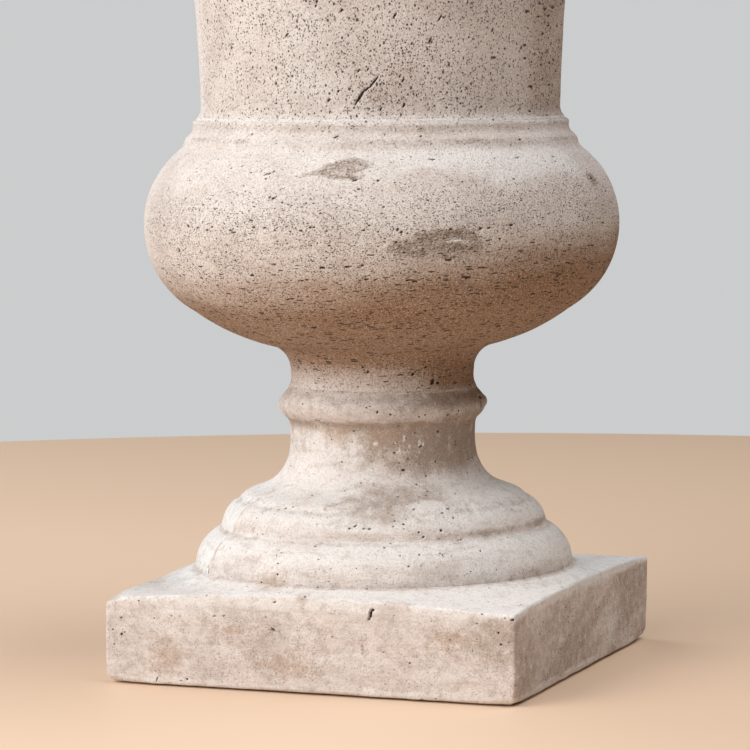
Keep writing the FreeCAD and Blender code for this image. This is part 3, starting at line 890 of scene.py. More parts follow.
def paint_bowl(skin):
    co, z, azimuth, field = skin.co, skin.z, skin.azimuth, skin.field
    strip = skin.around(BOWL_SEAM - 14, 4, 19) * smooth(z, 195, 225)
    # paler shoulder, strongest on the right: a paler skin and painted light
    shoulder = smooth(z, 278, 298) * skin.clouds(40, -0.8, 0.6, flatten=2.5)
    shoulder *= 0.42 + 0.58 * skin.around(70, 25, 62)
    shoulder *= 1 - 0.9 * smooth(z, BAND_FOOT - 3, BAND_FOOT + 1) * smooth(azimuth, 0, 40)
    crescent = skin.blot((*CRESCENT_EDGE, 10.0, 1.0, -4), 0.5, 1.3)
    skin.keep("pale_and_light", 0.5 * strip, shoulder, 0.9 * crescent, 0.5 * seam_ridge(co, BOWL_SEAM, 1.0))

    ragged = 0.22 * field(co, 9) + 0.12 * field(co, 4)
    marks = [
        strength * skin.blot(place, inner, outer, raggedness * ragged) * (1 - crescent)
        for strength, place, inner, outer, raggedness in (
            (0.88, (11.8, 298.8, 16.5, 5.6, 10), 0.60, 1.15, 0.5),
            (0.75, (3.6, 295.6, 12.0, 1.6, 10), 0.40, 1.20, 0.5),
            (1.00, (13.0, 293.2, 12.0, 1.2), 0.50, 1.20, 1.0),
            (0.90, (34.0, 256.2, 29.5, 8.6, 2), 0.75, 1.25, 1.0),
            (1.00, (*SCAR_HOLLOW, 10.5, 3.2, -3), 0.80, 1.20, 1.0),
            (0.80, (86.0, 289.6, 7.0, 4.0, -20), 0.80, 1.10, 0.0),
            (0.50, (32.4, 320.0, 3.5, 2.0, 30), 0.60, 1.20, 0.0),
            (0.80, (57.0, 181.0, 3.6, 3.2), 0.50, 1.20, 0.0),
        )
    ]
    # painted shade in the crease at the band's foot
    crease = smooth(z, BAND_FOOT - 2.2, BAND_FOOT) * below(z, BAND_FOOT + 0.8, BAND_FOOT + 3.0)
    skin.keep("patch_and_shade", *marks, 0.55 * crease * skin.clouds(20, -0.9, 0.4, shift=33))
    skin.keep("stain", 0.35 * skin.clouds(36, 0.2, 1.1, flatten=2, shift=50))

    # browner band under the bulge and on the neck: a brownish tone and painted shade, darker on the right side
    start = 236 - 16 * np.cos(np.radians(azimuth + 60)) + 4 * field.cloud(co * (1, 1, 2), 36)
    shaded = skin.around(95, 30, 60)
    fade = smooth(z, 168, 190)
    neck = 0.26 + 0.50 * shaded + 0.22 * skin.clouds(18, -0.2, 0.5)
    brown_and_shade = below(z, start - 22, start + 34) * (fade + (1 - fade) * neck) * (0.88 + 0.12 * shaded)
    skin.keep("brown_and_shade", brown_and_shade * (1 - 0.40 * below(z, BOWL_UNDERSIDE, BOWL_UNDERSIDE + 3.5)))
    clear = 283 + 9 * np.cos(np.radians(azimuth - 75)) + 6 * field.cloud(co * (1, 1, 2) + 11, 30)
    porous = 0.10 + 0.90 * below(z, clear - 14, clear + 8)
    porous *= 1 - 0.40 * below(z, 185, 200) - 0.30 * below(z, 171, 176)
    porous = np.maximum(porous, 0.55 * smooth(z, BELL_JOINT - 7, BELL_JOINT - 2))
    skin.keep("porous", porous * (1 - 0.8 * strip))


def make_bowl():
    outline = bowl_outline()
    grid = turn(outline, spokes(400))
    grid[..., 2] += PAD_TOP
    normals, heights = grid_normals(grid), grid[..., 2]
    field = Noise(12)
    outside = np.zeros(len(outline), bool)
    outside[2:int(np.argmax(outline[:, 1] >= BOWL_TOP - 0.01))] = True
    free = smooth(heights, BOWL_UNDERSIDE + 0.5, BOWL_UNDERSIDE + 5)
    free = free * below(heights, BELL_JOINT - 5, BELL_JOINT - 0.2)
    lift = 0.40 * field(grid, 52) + 0.16 * field(grid, 15) + 0.06 * field(grid * (1, 1, 3), 9)
    lift += 0.20 * seam_ridge(grid, BOWL_SEAM, 1.0) * smooth(field(grid, 22), -0.3, 0.4)
    lift += scars(grid, field)
    grid += (lift * free)[..., None] * normals
    pits = bowl_pits(grid, outside)
    mesh = mesh_of("bowl_casting", grid)
    pits.press(mesh, Noise(32))
    paint_bowl(Skin(mesh, field))
    finish_piece(mesh, stone("body_stone_bowl", 1.7, 0.5), "body_stone", "bowl")


# ---------------------------------------------------------------- the pedestal: neck, stem, tori and plinth
LOWER_TORUS = (88.2, 58.0, 24.3)
UPPER_TORUS = (78.0, 80.6, 19.0)
TORUS_FOOT = (113.3, 56.8)           # where the plinth's domed top meets the lower torus
FOOT_SEAM = -44.0                    # mould seam of the pedestal; the back half sits a little high
BACK_HALF_LIFT = 1.8
CORE_MOUTH_RADIUS = 92.0
SPIGOT_RADIUS = 30.0                 # boss that centres the bowl on the pedestal
NECK_TOP, SPIGOT_TOP, CORE_TOP = 163.8, 171.8, 118.0
BROKEN_CORNER, PROUD_CORNER = -45, 135       # angles of the front left corner and of the back right one
CORNER_SHARPNESS = ((BROKEN_CORNER, 120), (45, 170), (PROUD_CORNER, 320), (-135, 120))    # higher is sharper


def plinth_edge(azimuths):
    """Radius of the plinth's outline at each angle: a square whose corners are worn by different amounts."""
    a = np.radians(azimuths)
    power = np.zeros_like(a)
    for corner, sharpness in CORNER_SHARPNESS:
        power += sharpness * (np.abs(turned_by(azimuths, corner)) <= 45)
    return (PLINTH_HALF - 0.2) / (np.abs(np.sin(a)) ** power + np.abs(np.cos(a)) ** power) ** (1 / power)


def behind_seam(points, start=-0.8, full=1.2):
    """Share of each point on the mould's back half, rising over a distance behind the seam."""
    a = math.radians(FOOT_SEAM)
    along = np.array((math.sin(a), -math.cos(a)))
    off = points[..., 0] * along[1] - points[..., 1] * along[0]
    return smooth(-off, start, full)


def mound(points, field):
    """Height of the plinth's domed top over its underside."""
    r = np.hypot(points[..., 0], points[..., 1])
    azimuth = azimuth_of(points)
    rise = 49.8 + 7.0 * np.clip((144 - r) / 30.7, 0, 1.0) ** 3.1 - 0.8 * np.clip((r - 144) / 37.5, 0, 1)
    outer = smooth(r, 116, 124)
    rise -= 1.3 * outer * bell_curve(turned_by(azimuth, 90), 24)
    rise -= 2.0 * smooth(r, 152, 178) * bell_curve(turned_by(azimuth, BROKEN_CORNER), 6)
    rise -= 2.0 * smooth(r, 150, 205) * bell_curve(turned_by(azimuth, PROUD_CORNER), 9)
    rise += 2.2 * below(r, 130, 176) * smooth(r, 110, 122) * behind_seam(points, 4, 50)
    rise += 0.35 * outer * field(points * (1, 1, 0), 34) + 0.18 * outer * field(points * (1, 1, 0), 11)
    return rise


def plinth_rows(azimuths, field):
    """Rings of points from the core's mouth along the underside, up the sides and over the domed top."""
    edge = plinth_edge(azimuths)
    rim = circle(edge, 0.0, azimuths)
    corner = bell_curve(turned_by(azimuths, BROKEN_CORNER), 4)
    wear = 1.5 + 0.7 * field(rim, 12) + 0.4 * field(rim, 4) + 2.2 * corner
    nearest_corner = (azimuths + 180) % 90 - 45
    chamfer = 2.1 + 0.8 * field(rim + 60, 9) + 3.0 * bell_curve(nearest_corner, 3.0)
    edge_top = mound(rim, field)

    def side(radius, level):
        """Ring on the plinth's side, bulging a little at half height."""
        points = circle(radius, level, azimuths)
        swell = 0.4 * np.sin(np.pi * np.clip(level / edge_top, 0, 1)) + 0.22 * field(points, 30)
        swell += 0.12 * field(points, 8)
        swell += 1.8 * (level / 50) * bell_curve(turned_by(azimuths, PROUD_CORNER), 5)
        scale = (1 + (swell - 0.1) / radius)[:, None]
        return points * np.concatenate([scale, scale, scale * 0 + 1], axis=1)

    rows = [circle(CORE_MOUTH_RADIUS + (edge - chamfer - CORE_MOUTH_RADIUS) * u, 0.0, azimuths)
            for u in np.linspace(0, 1, 12)[1:]]
    rows.append(side(edge - 0.35 * chamfer, 0.35 * chamfer))
    rows += [side(edge, chamfer + (edge_top - wear - chamfer) * u) for u in np.linspace(0, 1, 23)]
    for degrees in (22, 45, 68):
        t = math.radians(degrees)
        rows.append(side(edge - wear * (1 - math.cos(t)), edge_top - wear * (1 - math.sin(t))))
    for u in np.linspace(0, 1, 27)[:-1]:
        r = (edge - wear) + (TORUS_FOOT[0] + 0.4 - (edge - wear)) * u
        rows.append(circle(r, mound(circle(r, 0.0, azimuths), field), azimuths))
    return np.array(rows)


def pedestal_outline():
    outline = (
        Outline(*TORUS_FOOT)
        .to(*on_arc(*LOWER_TORUS, -2), 0.8)
        .arc(on_arc(*LOWER_TORUS, 30), on_arc(*LOWER_TORUS, 61), 1.8)
        .curve(on_arc(*UPPER_TORUS, 0), gap=1.2)
        .arc(on_arc(*UPPER_TORUS, 28), on_arc(*UPPER_TORUS, 56), 1.8)
        .curve((86.6, 96.7), gap=1.0)
        .arc((83.6, 100.1), (77.0, 103.2), 1.5)
        .curve((68.7, 106.7), (61.5, 112.6), (56.8, 121.0), (55.0, 132.0), (55.2, 144.8), gap=1.9)
        .curve((57.4, 146.6), gap=1.0)
        .arc((60.3, 149.6), (61.3, 154.0), 1.2)
        .curve((60.4, 157.6), (58.4, 160.4), (56.6, 162.2), (55.9, NECK_TOP), gap=1.0)
        .to(SPIGOT_RADIUS, NECK_TOP, 5.0)
        .to(SPIGOT_RADIUS, SPIGOT_TOP, 4.0)
        .to(ROD_HOLE_RADIUS, SPIGOT_TOP, 6.0)
        .to(ROD_HOLE_RADIUS, CORE_TOP, 9.0)
        .to(26.0, CORE_TOP, 5.0)
        .to(30.0, 92.0, 6.0)
        .to(44.0, 82.0, 6.0)
        .arc((72.0, 66.0), (84.0, 44.0), 6.0)
        .to(CORE_MOUTH_RADIUS, 0.0, 6.0)
    ).array()
    outline = soften(outline, 54.0, 104.0, 60.0, 3)
    return soften(outline, 140.0, 163.0, 50.0, 4)


def pedestal_pits(grid, outside):
    pits = Pits(grid, outside, 23)
    front = -PLINTH_HALF
    for x, z, length, width, lean, depth in (
        (39.6, 48.4, 2.5, 1.0, 80, 2.6), (40.8, 50.8, 1.5, 0.9, 0, 1.6), (38.6, 45.4, 1.0, 0.6, 20, 1.2),
        (-114.6, 29.2, 0.9, 0.7, 60, 1.2), (-112.4, 30.4, 0.6, 0.5, 0, 0.8), (-114.8, 38.8, 0.8, 0.5, 0, 1.0),
        (-120.0, 31.6, 0.6, 0.4, 0, 0.7), (115.5, 41.8, 0.8, 0.7, 70, 1.1), (117.0, 35.2, 0.7, 0.7, 20, 1.1),
        (-92.7, 3.6, 2.6, 0.4, 70, 0.7), (-56.0, 42.5, 0.9, 0.4, 10, 0.7), (-24.0, 43.5, 0.8, 0.4, 0, 0.7),
        (87.2, 36.5, 0.6, 0.5, 0, 0.7), (63.0, 22.0, 0.7, 0.5, 0, 0.7), (119.5, 50.0, 0.6, 0.5, 0, 0.7),
    ):
        pits.add((x, front, z), length, width, depth, lean)
    pits.add((PLINTH_HALF - 1.5, front + 0.2, 49.4), 1.4, 1.0, 1.2)            # chipped corner
    pits.add_by_hand(0.6, (
        (-45.1, 61.0, 2.6, 1.0, 80), (-45.8, 63.5, 1.4, 0.7, 60), (-12.0, 66.0, 0.9, 0.7, 60),
        (9.0, 92.0, 0.8, 0.6, 40), (11.0, 93.5, 1.3, 0.5, 40), (14.0, 92.0, 1.0, 0.5, 10),
        (16.0, 92.0, 1.3, 0.5, 0), (24.0, 103.0, 1.0, 0.5, 0), (24.5, 98.5, 0.7, 0.5, 0),
        (25.0, 96.0, 0.6, 0.5, 0), (28.0, 94.0, 1.0, 0.6, 0), (33.0, 101.5, 0.7, 0.6, 0),
        (36.0, 104.0, 0.8, 0.6, 0), (33.0, 89.5, 0.8, 0.6, 0), (44.0, 99.0, 1.0, 0.5, 10),
        (47.0, 101.0, 1.2, 0.5, 0), (41.0, 90.0, 1.0, 0.7, 0), (39.0, 113.0, 0.9, 0.6, 0),
        (46.0, 117.0, 0.8, 0.7, 0), (32.0, 78.5, 0.7, 0.5, 0), (26.0, 78.0, 0.7, 0.5, 0),
        (18.0, 155.5, 1.4, 0.6, 75), (45.0, 153.0, 0.8, 0.5, 0), (12.0, 158.0, 0.8, 0.5, 0),
        (60.0, 152.0, 1.1, 0.6, 20), (68.0, 154.0, 1.0, 0.6, 40), (28.0, 131.0, 1.3, 0.6, 0),
        (33.0, 121.0, 1.6, 0.7, 0), (44.5, 134.0, 1.4, 0.5, 20), (94.0, 157.0, 4.8, 2.1, 80),
        (96.5, 160.0, 2.2, 1.2, 60), (-66.0, 157.5, 1.8, 0.6, 60),
    ))

    def chance(azimuth, height):
        if height > 52 and abs(turned_by(azimuth, 38)) < 24:
            return 0.9
        return 0.5 if height > 95 else 0.2

    pits.scatter(520, chance, (0.40, 0.75), (1.0, 2.0), 1.0, lean=20)
    return pits


def paint_pedestal(skin):
    co, azimuth, r, field = skin.co, skin.azimuth, skin.r, skin.field
    level, facing = skin.z - PAD_TOP, vertex_normals(skin.mesh)[:, 2]
    on_top = smooth(r, 113, 118) * smooth(level, 46, 49)
    face = below(level, 46, 50) * smooth(r, 118, 124)
    right_face = face * smooth(co[:, 0], PLINTH_HALF - 3, PLINTH_HALF - 1)
    tori = smooth(level, 57, 64) * below(level, 104, 126)
    lightward = 0.5 + 0.5 * np.cos(np.radians(azimuth + 30))
    # the side facing the key lamps, and the side away from them, where painted light and shade change
    lit_side, right_side = skin.around(-35, 25, 75), skin.around(85, 30, 55)

    # limewash and painted light on the tori's upward faces, most on the side facing the lamps
    upward = tori * (0.20 + 0.35 * lit_side + 0.75 * smooth(facing, 0.25, 0.65))
    upward = upward * skin.clouds(24, -1.3, 0.2, flatten=2) * (1 - 0.12 * lit_side)
    rounds = smooth(level, 84, 90) * below(level, 112, 120) + smooth(level, 60, 68) * below(level, 73, 77)
    chips = 0.95 * skin.blot((3.9, 130.5, 3.2, 8.0, 15), 0.6, 1.1) * smooth(field(co, 3), -0.5, 0.3)
    chips = np.maximum(chips, skin.blot((30, 137, 27, 8), 0.5, 1.3) * smooth(field(co, 1.9), 0.38, 0.70))
    stem_light = 0.75 * smooth(level, 104, 112) * smooth(lightward, 0.72, 0.9) * below(level, 135, 150)
    strip = below(level, 3.6, 4.8) * skin.clouds(14, -0.9, -0.3)      # paler line along the plinth's foot: painted light from the floor on the worn edge
    # limewash on the plinth's top and faces and on the chips; painted light on the tori's upward faces, on their
    # rounds at the right side, on the stem's lit side and along the foot
    skin.keep("wash_and_light", 0.95 * on_top * skin.clouds(26, -1.2, -0.2), upward, 0.9 * right_side * rounds, chips,
              stem_light, 0.9 * strip, 0.75 * face * skin.clouds(30, 0.0, 0.9, shift=70))
    # painted cool light on the left of the seam, and a painted sky reflection on the plinth's back right top
    left = skin.around(FOOT_SEAM - 32, 30, 33) * smooth(level, 46, 52) * below(level, 100, 130)
    skin.keep("painted_cool_light", 0.75 * left, 0.8 * on_top * skin.around(128, 30, 62))

    slant = np.stack([(0.94 * co[:, 1] + 0.34 * co[:, 2]) / 5, 0.94 * co[:, 2] - 0.34 * co[:, 1], 0 * r], 1)
    flow = smooth(field.cloud(slant, 10), -0.7, 0.7)      # dirt that ran down the right face at a slant
    dirt = face * (0.30 + 0.45 * skin.clouds(38, -0.1, 0.9)) * (1 - strip)
    run_off = (0.33 + 0.37 * flow) * right_face * (1 - strip)
    upper = smooth(level, 76, 82)
    # painted shade on the tori's downward faces, less on the side facing the lamps and more on the right
    under = tori * smooth(-facing, -0.20 - 0.25 * upper, 0.12 - 0.12 * upper)
    under = under * (0.45 + 0.5 * skin.clouds(22, -0.6, 0.5, flatten=2))
    under = np.minimum(under * (1 + 0.35 * skin.around(52, 15, 40)), 1) * (1 - 0.6 * lit_side)
    under = under * (1 + 0.9 * right_side * upper) * (1 - 0.45 * below(level, 72, 80))
    middle = skin.around(24, 15, 40) * smooth(level, 88, 95) * below(level, 108, 118)
    middle = 0.75 * middle * skin.clouds(20, -0.9, 0.4, flatten=2, shift=5)
    stem = smooth(level, 108, 126) * (0.25 + 0.75 * skin.clouds(22, -0.4, 0.4, shift=40, octaves=4))
    stem = stem * (1 - 0.65 * smooth(level, 145, 149))
    # the mottling fades on the side facing the lamps: painted shade
    stem = stem * (1 - 0.55 * smooth(lightward, 0.80, 0.95) * below(level, 138, 146))
    # painted shadow in the groove under the ring
    stem = np.maximum(stem, 0.85 * smooth(level, 138, 144) * below(level, 146, 150))
    shaded = 0.95 * smooth(level, 117, 126) * skin.around(85, 20, 46) * (1 - 0.45 * smooth(level, 149, 152))
    # darker neck above the ring, most on the right side: a brownish tone and painted shade
    neck_ring = (0.42 + 0.40 * right_side) * smooth(level, 149, 158)
    # painted shade in the creases: where the lower torus meets the plinth, between the tori and at the step
    # above the upper torus
    grooves = (
        0.60 * bell_curve(r - 113, 2.5) * below(level, 57, 63) * smooth(level, 52, 56),
        0.60 * bell_curve(level - 80.5, 2.2) * below(r, 98, 102),
        0.45 * bell_curve(level - 97.5, 1.8),
    )
    patches = np.maximum.reduce([dirt, run_off, under, middle, stem, shaded, neck_ring, *grooves])
    skin.keep("patch_and_shade", np.clip(patches, 0, 1) * (1 - chips))

    seam_dirt = bell_curve(np.radians(turned_by(azimuth, FOOT_SEAM + 1.4)) * r, 0.9) * tori
    spots = [
        0.7 * seam_dirt * smooth(field(co, 9), -0.7, 0.1),
        0.75 * skin.blot((-7.7, 141.0, 15.0, 9.0), 0, 1.5),
        0.65 * skin.blot((24.0, 138.0, 22.0, 12.0), 0.2, 1.4),
        0.8 * skin.blot((-13.5, 61.5, 13.0, 6.0), 0, 1.5),
        0.6 * skin.blot((-13.0, 138.0, 9.0, 6.0), 0.1, 1.4),
        0.45 * right_face * smooth(field.cloud(slant + 40, 14), 0.1, 0.9),
    ]
    for x, z, wide, high in (
        (-87.5, 16.0, 17, 13), (-11.3, 15.0, 22, 8), (87.2, 34.0, 14, 7), (-46.8, 33.7, 14, 4),
    ):
        cloud = bell_curve(co[:, 0] - x, wide) * bell_curve(level - z, high)
        spots.append(0.75 * face * cloud * (co[:, 1] < -100))
    skin.keep("stain", np.clip(np.maximum.reduce(spots), 0, 1) * (1 - chips))


def make_pedestal():
    azimuths = spokes(416, crowd=0.6)
    field = Noise(13)
    rows, outline = plinth_rows(azimuths, field), pedestal_outline()
    grid = np.concatenate([rows, turn(outline, azimuths)])
    levels = grid[..., 2].copy()
    grid[..., 2] += PAD_TOP
    outside = np.zeros(len(grid), bool)
    outside[11:len(rows) + int(np.argmax(outline[:, 1] >= NECK_TOP - 0.01)) - 1] = True
    normals = grid_normals(grid)
    shown = outside[:, None] * below(levels, 157, 162.5)
    shown = shown * (np.arange(len(grid))[:, None] > len(rows) - 3)
    lift = 0.45 * field(grid, 40) + 0.22 * field(grid, 13) + 0.09 * field(grid, 5)
    lift += 0.35 * seam_ridge(grid, FOOT_SEAM, 0.9) * below(levels, 96, 108)
    lift += 0.9 * blot(grid, (-69, 155, 4.0, 3.0), 0.3, 1.3)          # flash left where the mould closed
    lift += 1.1 * blot(grid, (111, 156, 4.5, 3.4), 0.3, 1.3)
    lift -= 0.8 * blot(grid, (57.2, 98.5, 3.0, 3.0), 0.3, 1.3)
    grid += (lift * shown)[..., None] * normals
    back = behind_seam(grid) * outside[:, None]
    grid[..., 2] += BACK_HALF_LIFT * back * smooth(levels, 40, 49) * below(levels, 70, 112)
    pits = pedestal_pits(grid, outside)
    mesh = mesh_of("pedestal_casting", grid)
    pits.press(mesh, Noise(33))
    paint_pedestal(Skin(mesh, field))
    finish_piece(mesh, limewashed_stone("pedestal_stone"), "pedestal_stone", "pedestal")


# ---------------------------------------------------------------- joints, tie rod, nuts, washers and pads
THREAD_PITCH, THREAD_DEPTH = 1.75, 0.95
NUT_BORE, NUT_HALF_FLATS = 6.05, 9.0
WASHER_BORE = 6.5
CHAMFER_SLOPE = 0.577            # tangent of 30 degrees


def make_grout(name, node, inner, lower_edge, upper_edge, material, seed):
    """Ring of mortar squeezed between two castings and wiped flush with their edges."""
    low, high = node_box(node)
    outer = min(lower_edge, upper_edge)
    middle, half = (low[2] + high[2]) / 2, (high[2] - low[2]) / 2
    outline = (
        Outline(inner, middle - half)
        .to(lower_edge, middle - half, 2.5)
        .arc(((lower_edge + upper_edge) / 2 + 0.15, middle), (upper_edge, middle + half), 0.3)
        .to(inner, middle + half, 2.5)
        .to(inner, middle - half, 0.8)
    ).array()[:-1]
    grid = turn(outline, spokes(320))
    field = Noise(seed)
    edge = smooth(np.hypot(grid[..., 0], grid[..., 1]), outer - 1.5, outer - 0.8)
    grid[..., :2] *= (1 + edge * (0.14 * field(grid, 6) + 0.10 * field(grid, 2) - 0.05) / outer)[..., None]
    finish_piece(mesh_of(name, grid), material, "mortar", node)


def make_tie_rod(material):
    """Threaded rod: a helical groove cut into a bar with chamfered ends."""
    low, high = node_box("tie_rod")
    radius = high[0]
    heights = np.arange(low[2], high[2], 0.22)
    azimuths = spokes(40)
    z = heights[:, None] + 0 * azimuths[None, :]
    phase = (z / THREAD_PITCH - azimuths[None, :] / 360) % 1
    crest = np.abs(phase - 0.5) * 2
    r = radius - THREAD_DEPTH * smooth(crest, 0.08, 0.92)
    end = np.minimum(z - low[2], high[2] - z)
    r = np.minimum(r, radius - 1.0 + np.clip(end, 0, 1.0))
    # the ends close through a tiny ring on the axis, so the grid stays one closed skin
    caps = [circle(share * r[k], z[k], azimuths) for k, share in ((-1, 0.6), (-1, 0.02), (0, 0.02), (0, 0.6))]
    mesh = mesh_of("tie_rod_threaded", np.concatenate([circle(r, z, azimuths), np.array(caps)]))
    bm = bmesh.new()
    bm.from_mesh(mesh)
    bore = [f for f in bm.faces if all(v.co.xy.length < 0.05 * radius * MM for v in f.verts)]
    bmesh.ops.delete(bm, geom=bore, context="FACES")
    bmesh.ops.holes_fill(bm, edges=[e for e in bm.edges if e.is_boundary], sides=0)
    bm.to_mesh(mesh)
    bm.free()
    finish_piece(mesh, material, "zinc_steel", "tie_rod")


def make_nut(node, material):
    """Hexagon nut with chamfered corners and a countersunk bore."""
    low, high = node_box(node)
    base, top = low[2], high[2]
    height = top - base
    azimuths = spokes(96)
    hexagon = NUT_HALF_FLATS / np.cos(np.radians((azimuths + 30) % 60 - 30))
    reach = NUT_HALF_FLATS - 0.3                # the chamfer starts this far out on both ends
    mouth = NUT_BORE + 0.9
    ups = np.concatenate([np.linspace(0, 1.2, 7)[1:], np.linspace(1.2, height - 1.2, 5)[1:-1],
                          np.linspace(height - 1.2, height, 7)[:-1]])
    rings = [(mouth, base), (reach, base)]
    rings += [(np.minimum(hexagon, reach + min(up, height - up) / CHAMFER_SLOPE), base + up) for up in ups]
    rings += [(reach, top), (mouth, top), (NUT_BORE, top - 0.9), (NUT_BORE, base + 0.9)]
    grid = np.array([circle(radius, z, azimuths) for radius, z in rings])
    finish_piece(mesh_of(node + "_hex", grid), material, "zinc_steel", node, sharp=25)


def make_washer(node, inner, material, slot, rounding, cup=0.0):
    """Flat ring with rounded edges, a little dished by the nut."""
    low, high = node_box(node)
    outer, base, top = high[0], low[2], high[2]
    k = rounding
    outline = (
        Outline(inner + k, base)
        .to(outer - k, base, 1.2)
        .arc((outer - 0.3 * k, base + 0.3 * k), (outer, base + k), 0.2)
        .to(outer, top - k, 0.5)
        .arc((outer - 0.3 * k, top - 0.3 * k), (outer - k, top), 0.2)
        .to(inner + k, top, 1.2)
        .arc((inner + 0.3 * k, top - 0.3 * k), (inner, top - k), 0.2)
        .to(inner, base + k, 0.5)
        .arc((inner + 0.3 * k, base + 0.3 * k), (inner + k, base), 0.2)
    ).array()[:-1]
    grid = turn(outline, spokes(96))
    r = np.hypot(grid[..., 0], grid[..., 1])
    flat = smooth(grid[..., 2], base + 0.6 * (top - base), top)
    grid[..., 2] -= cup * flat * bell_curve(r - 0.62 * outer, 2.0)
    finish_piece(mesh_of(node + "_ring", grid), material, slot, node)


def make_pad(node, material):
    """Self-adhesive rubber floor pad, domed at its edge, with moulded rings underneath."""
    low, high = node_box(node)
    centre = (low + high) / 2
    radius, top = (high[0] - low[0]) / 2, high[2]
    outline = (
        Outline(0.3, 0.0)
        .to(radius - 0.5, 0.0, 0.9)
        .arc((radius - 0.12, 0.2), (radius, 0.5), 0.2)
        .to(radius - 0.1, top, 0.3)
        .to(0.3, top, 0.9)
        .to(0.3, 0.0, 0.6)
    ).array()[:-1]
    grid = turn(outline, spokes(64))
    r = np.hypot(grid[..., 0], grid[..., 1])
    rings = 0.12 * (0.5 + 0.5 * np.cos(r * 2 * math.pi / 1.5)) * below(grid[..., 2], 0, 0.3)
    grid[..., 2] += rings * below(r, radius - 1.6, radius - 0.8)
    grid[..., :2] += centre[:2]
    finish_piece(mesh_of(node + "_disc", grid), material, "pad_rubber", node)


make_bell()
make_bowl()
make_pedestal()

make_grout("neck_mortar", "neck_joint_grout", 31.0, 55.9, 55.2,
           mortar("neck_mortar", (0.620, 0.540, 0.490), (0.520, 0.435, 0.385)), 41)
make_grout("bell_mortar", "bell_joint_grout", LAP_BORE, 109.0, 108.1,
           mortar("bell_mortar", STONE_PALE, STONE_LIGHT), 42)
steel = zinc()
make_tie_rod(steel)
make_nut("upper_nut", steel)
make_nut("lower_nut", steel)
make_washer("upper_washer", WASHER_BORE, steel, "zinc_steel", 0.4, cup=0.3)
make_washer("lower_washer", WASHER_BORE, steel, "zinc_steel", 0.4)
make_washer("upper_gasket", WASHER_BORE, rubber("gasket_rubber", (0.03, 0.03, 0.03)), "seal_rubber", 0.6)
pad_rubber = rubber("pad_rubber", (0.045, 0.040, 0.036))
for side in ("front_left", "front_right", "back_left", "back_right"):
    make_pad("floor_pad_" + side, pad_rubber)


# ---------------------------------------------------------------- floor, backdrop, lights and camera
FLOOR_RADIUS = 1.27          # its far edge shows where the photographed floor meets the wall
BACKDROP_RADIUS = 14.0
LIGHT_DISTANCE, LIGHT_SIZE = 2.6, 2.4
AIM_HEIGHT = 0.25            # the lights point at the axis this high up


def plain(name, colour, roughness=0.8, glow=0.0):
    """One even colour, or a surface that shines with it by that much glow."""
    n = Nodes(name)
    n.shader.inputs["Base Color"].default_value = (*colour, 1.0)
    n.shader.inputs["Roughness"].default_value = roughness
    n.shader.inputs["Specular IOR Level"].default_value = 0.2
    if glow:
        n.shader.inputs["Base Color"].default_value = (0.0, 0.0, 0.0, 1.0)
        n.shader.inputs["Emission Color"].default_value = (*colour, 1.0)
        n.shader.inputs["Emission Strength"].default_value = glow
    return n.material


def add_built(name, bm, material):
    """Puts a mesh that was built with bmesh in the scene."""
    mesh = bpy.data.meshes.new(name)
    bm.to_mesh(mesh)
    bm.free()
    mesh.materials.append(material)
    return add_object(name, mesh)


def make_floor():
    bm = bmesh.new()
    bmesh.ops.create_circle(bm, cap_ends=True, segments=128, radius=FLOOR_RADIUS)
    floor = add_built("floor", bm, plain("floor_paint", (0.74, 0.550, 0.405), 0.55))


def make_backdrop():
    """Pale grey shell far round the scene. Only the camera sees it, so it adds no light of its own."""
    bm = bmesh.new()
    bmesh.ops.create_icosphere(bm, subdivisions=4, radius=BACKDROP_RADIUS)
    material = plain("backdrop_paint", (0.60, 0.605, 0.61), 1.0, glow=1.0)
    material.cycles.emission_sampling = "NONE"
    backdrop = add_built("backdrop", bm, material)
    for way in ("diffuse", "glossy", "transmission", "volume_scatter", "shadow"):
        setattr(backdrop, "visible_" + way, False)


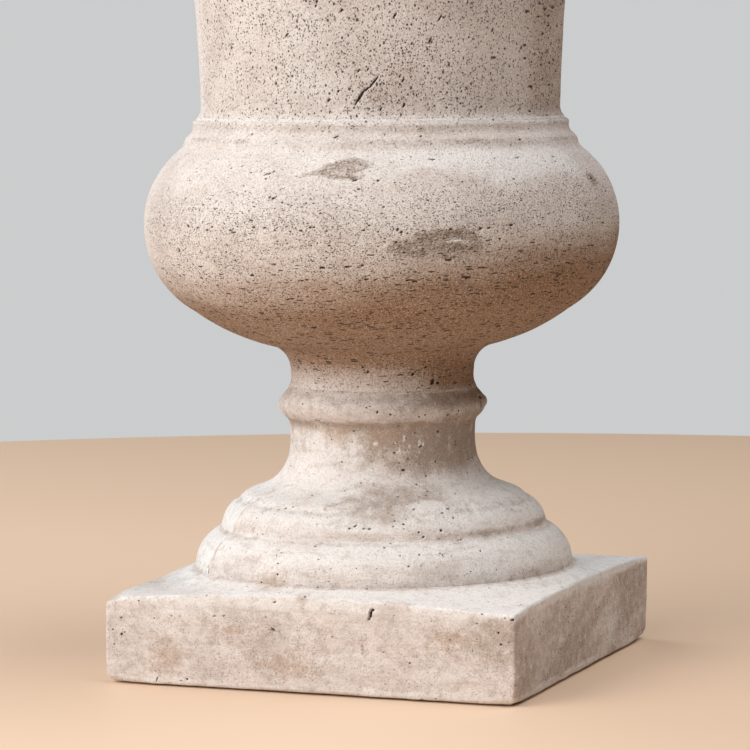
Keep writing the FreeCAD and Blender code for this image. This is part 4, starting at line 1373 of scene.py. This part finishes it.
def make_light(name, azimuth, elevation, power, colour):
    data = bpy.data.lights.new(name, "AREA")
    data.shape, data.size, data.energy, data.color = "DISK", LIGHT_SIZE, power, colour
    lamp = add_object(name, data)
    a, e = math.radians(azimuth), math.radians(elevation)
    away = Vector((math.sin(a) * math.cos(e), -math.cos(a) * math.cos(e), math.sin(e)))
    lamp.location = Vector((0, 0, AIM_HEIGHT)) + LIGHT_DISTANCE * away
    lamp.rotation_euler = away.to_track_quat("Z", "Y").to_euler()


def make_world(strength, colour):
    world = bpy.data.worlds.new("studio")
    world.use_nodes = True
    background = world.node_tree.nodes["Background"]
    background.inputs["Color"].default_value = (*colour, 1.0)
    background.inputs["Strength"].default_value = strength
    bpy.context.scene.world = world


CAMERA_AZIMUTH, CAMERA_PITCH, CAMERA_ROLL, CAMERA_YAW = (math.radians(d) for d in (20.91, 5.21, -0.42, 0.12))
CAMERA_DISTANCE, CAMERA_HEIGHT, CAMERA_LENS = 2.1225, 0.365, 171.9


def make_camera():
    """Long lens to the right of the front face, a little above the bulge and looking slightly down."""
    level = Vector((-math.sin(CAMERA_AZIMUTH), math.cos(CAMERA_AZIMUTH), 0))
    forward = level * math.cos(CAMERA_PITCH) - Vector((0, 0, math.sin(CAMERA_PITCH)))
    right = Vector((math.cos(CAMERA_AZIMUTH), math.sin(CAMERA_AZIMUTH), 0))
    up = right.cross(forward)
    yaw = Matrix.Rotation(CAMERA_YAW, 3, "Z")
    forward, right, up = yaw @ forward, yaw @ right, yaw @ up
    tilt = Matrix.Rotation(CAMERA_ROLL, 3, -forward)
    right, up = tilt @ right, tilt @ up
    data = bpy.data.cameras.new("camera")
    data.lens, data.sensor_width, data.clip_end = CAMERA_LENS, 36.0, 60.0
    camera = add_object("camera", data)
    place = Matrix((right, up, -forward)).transposed().to_4x4()
    place.translation = Vector((0, 0, CAMERA_HEIGHT)) - CAMERA_DISTANCE * level
    camera.matrix_world = place
    bpy.context.scene.camera = camera


make_floor()
make_backdrop()
make_world(0.05, (1.0, 0.98, 0.96))
make_light("key_softbox_left", -45, 30, 44, (1.0, 0.99, 0.975))
make_light("key_softbox_front", -15, 30, 42, (1.0, 0.99, 0.975))
make_light("rim_softbox", -110, 35, 24, (0.97, 0.985, 1.0))
make_light("high_softbox", 94, 64, 48, (1.0, 0.99, 0.985))
make_camera()
bpy.context.scene.view_settings.view_transform = "Standard"
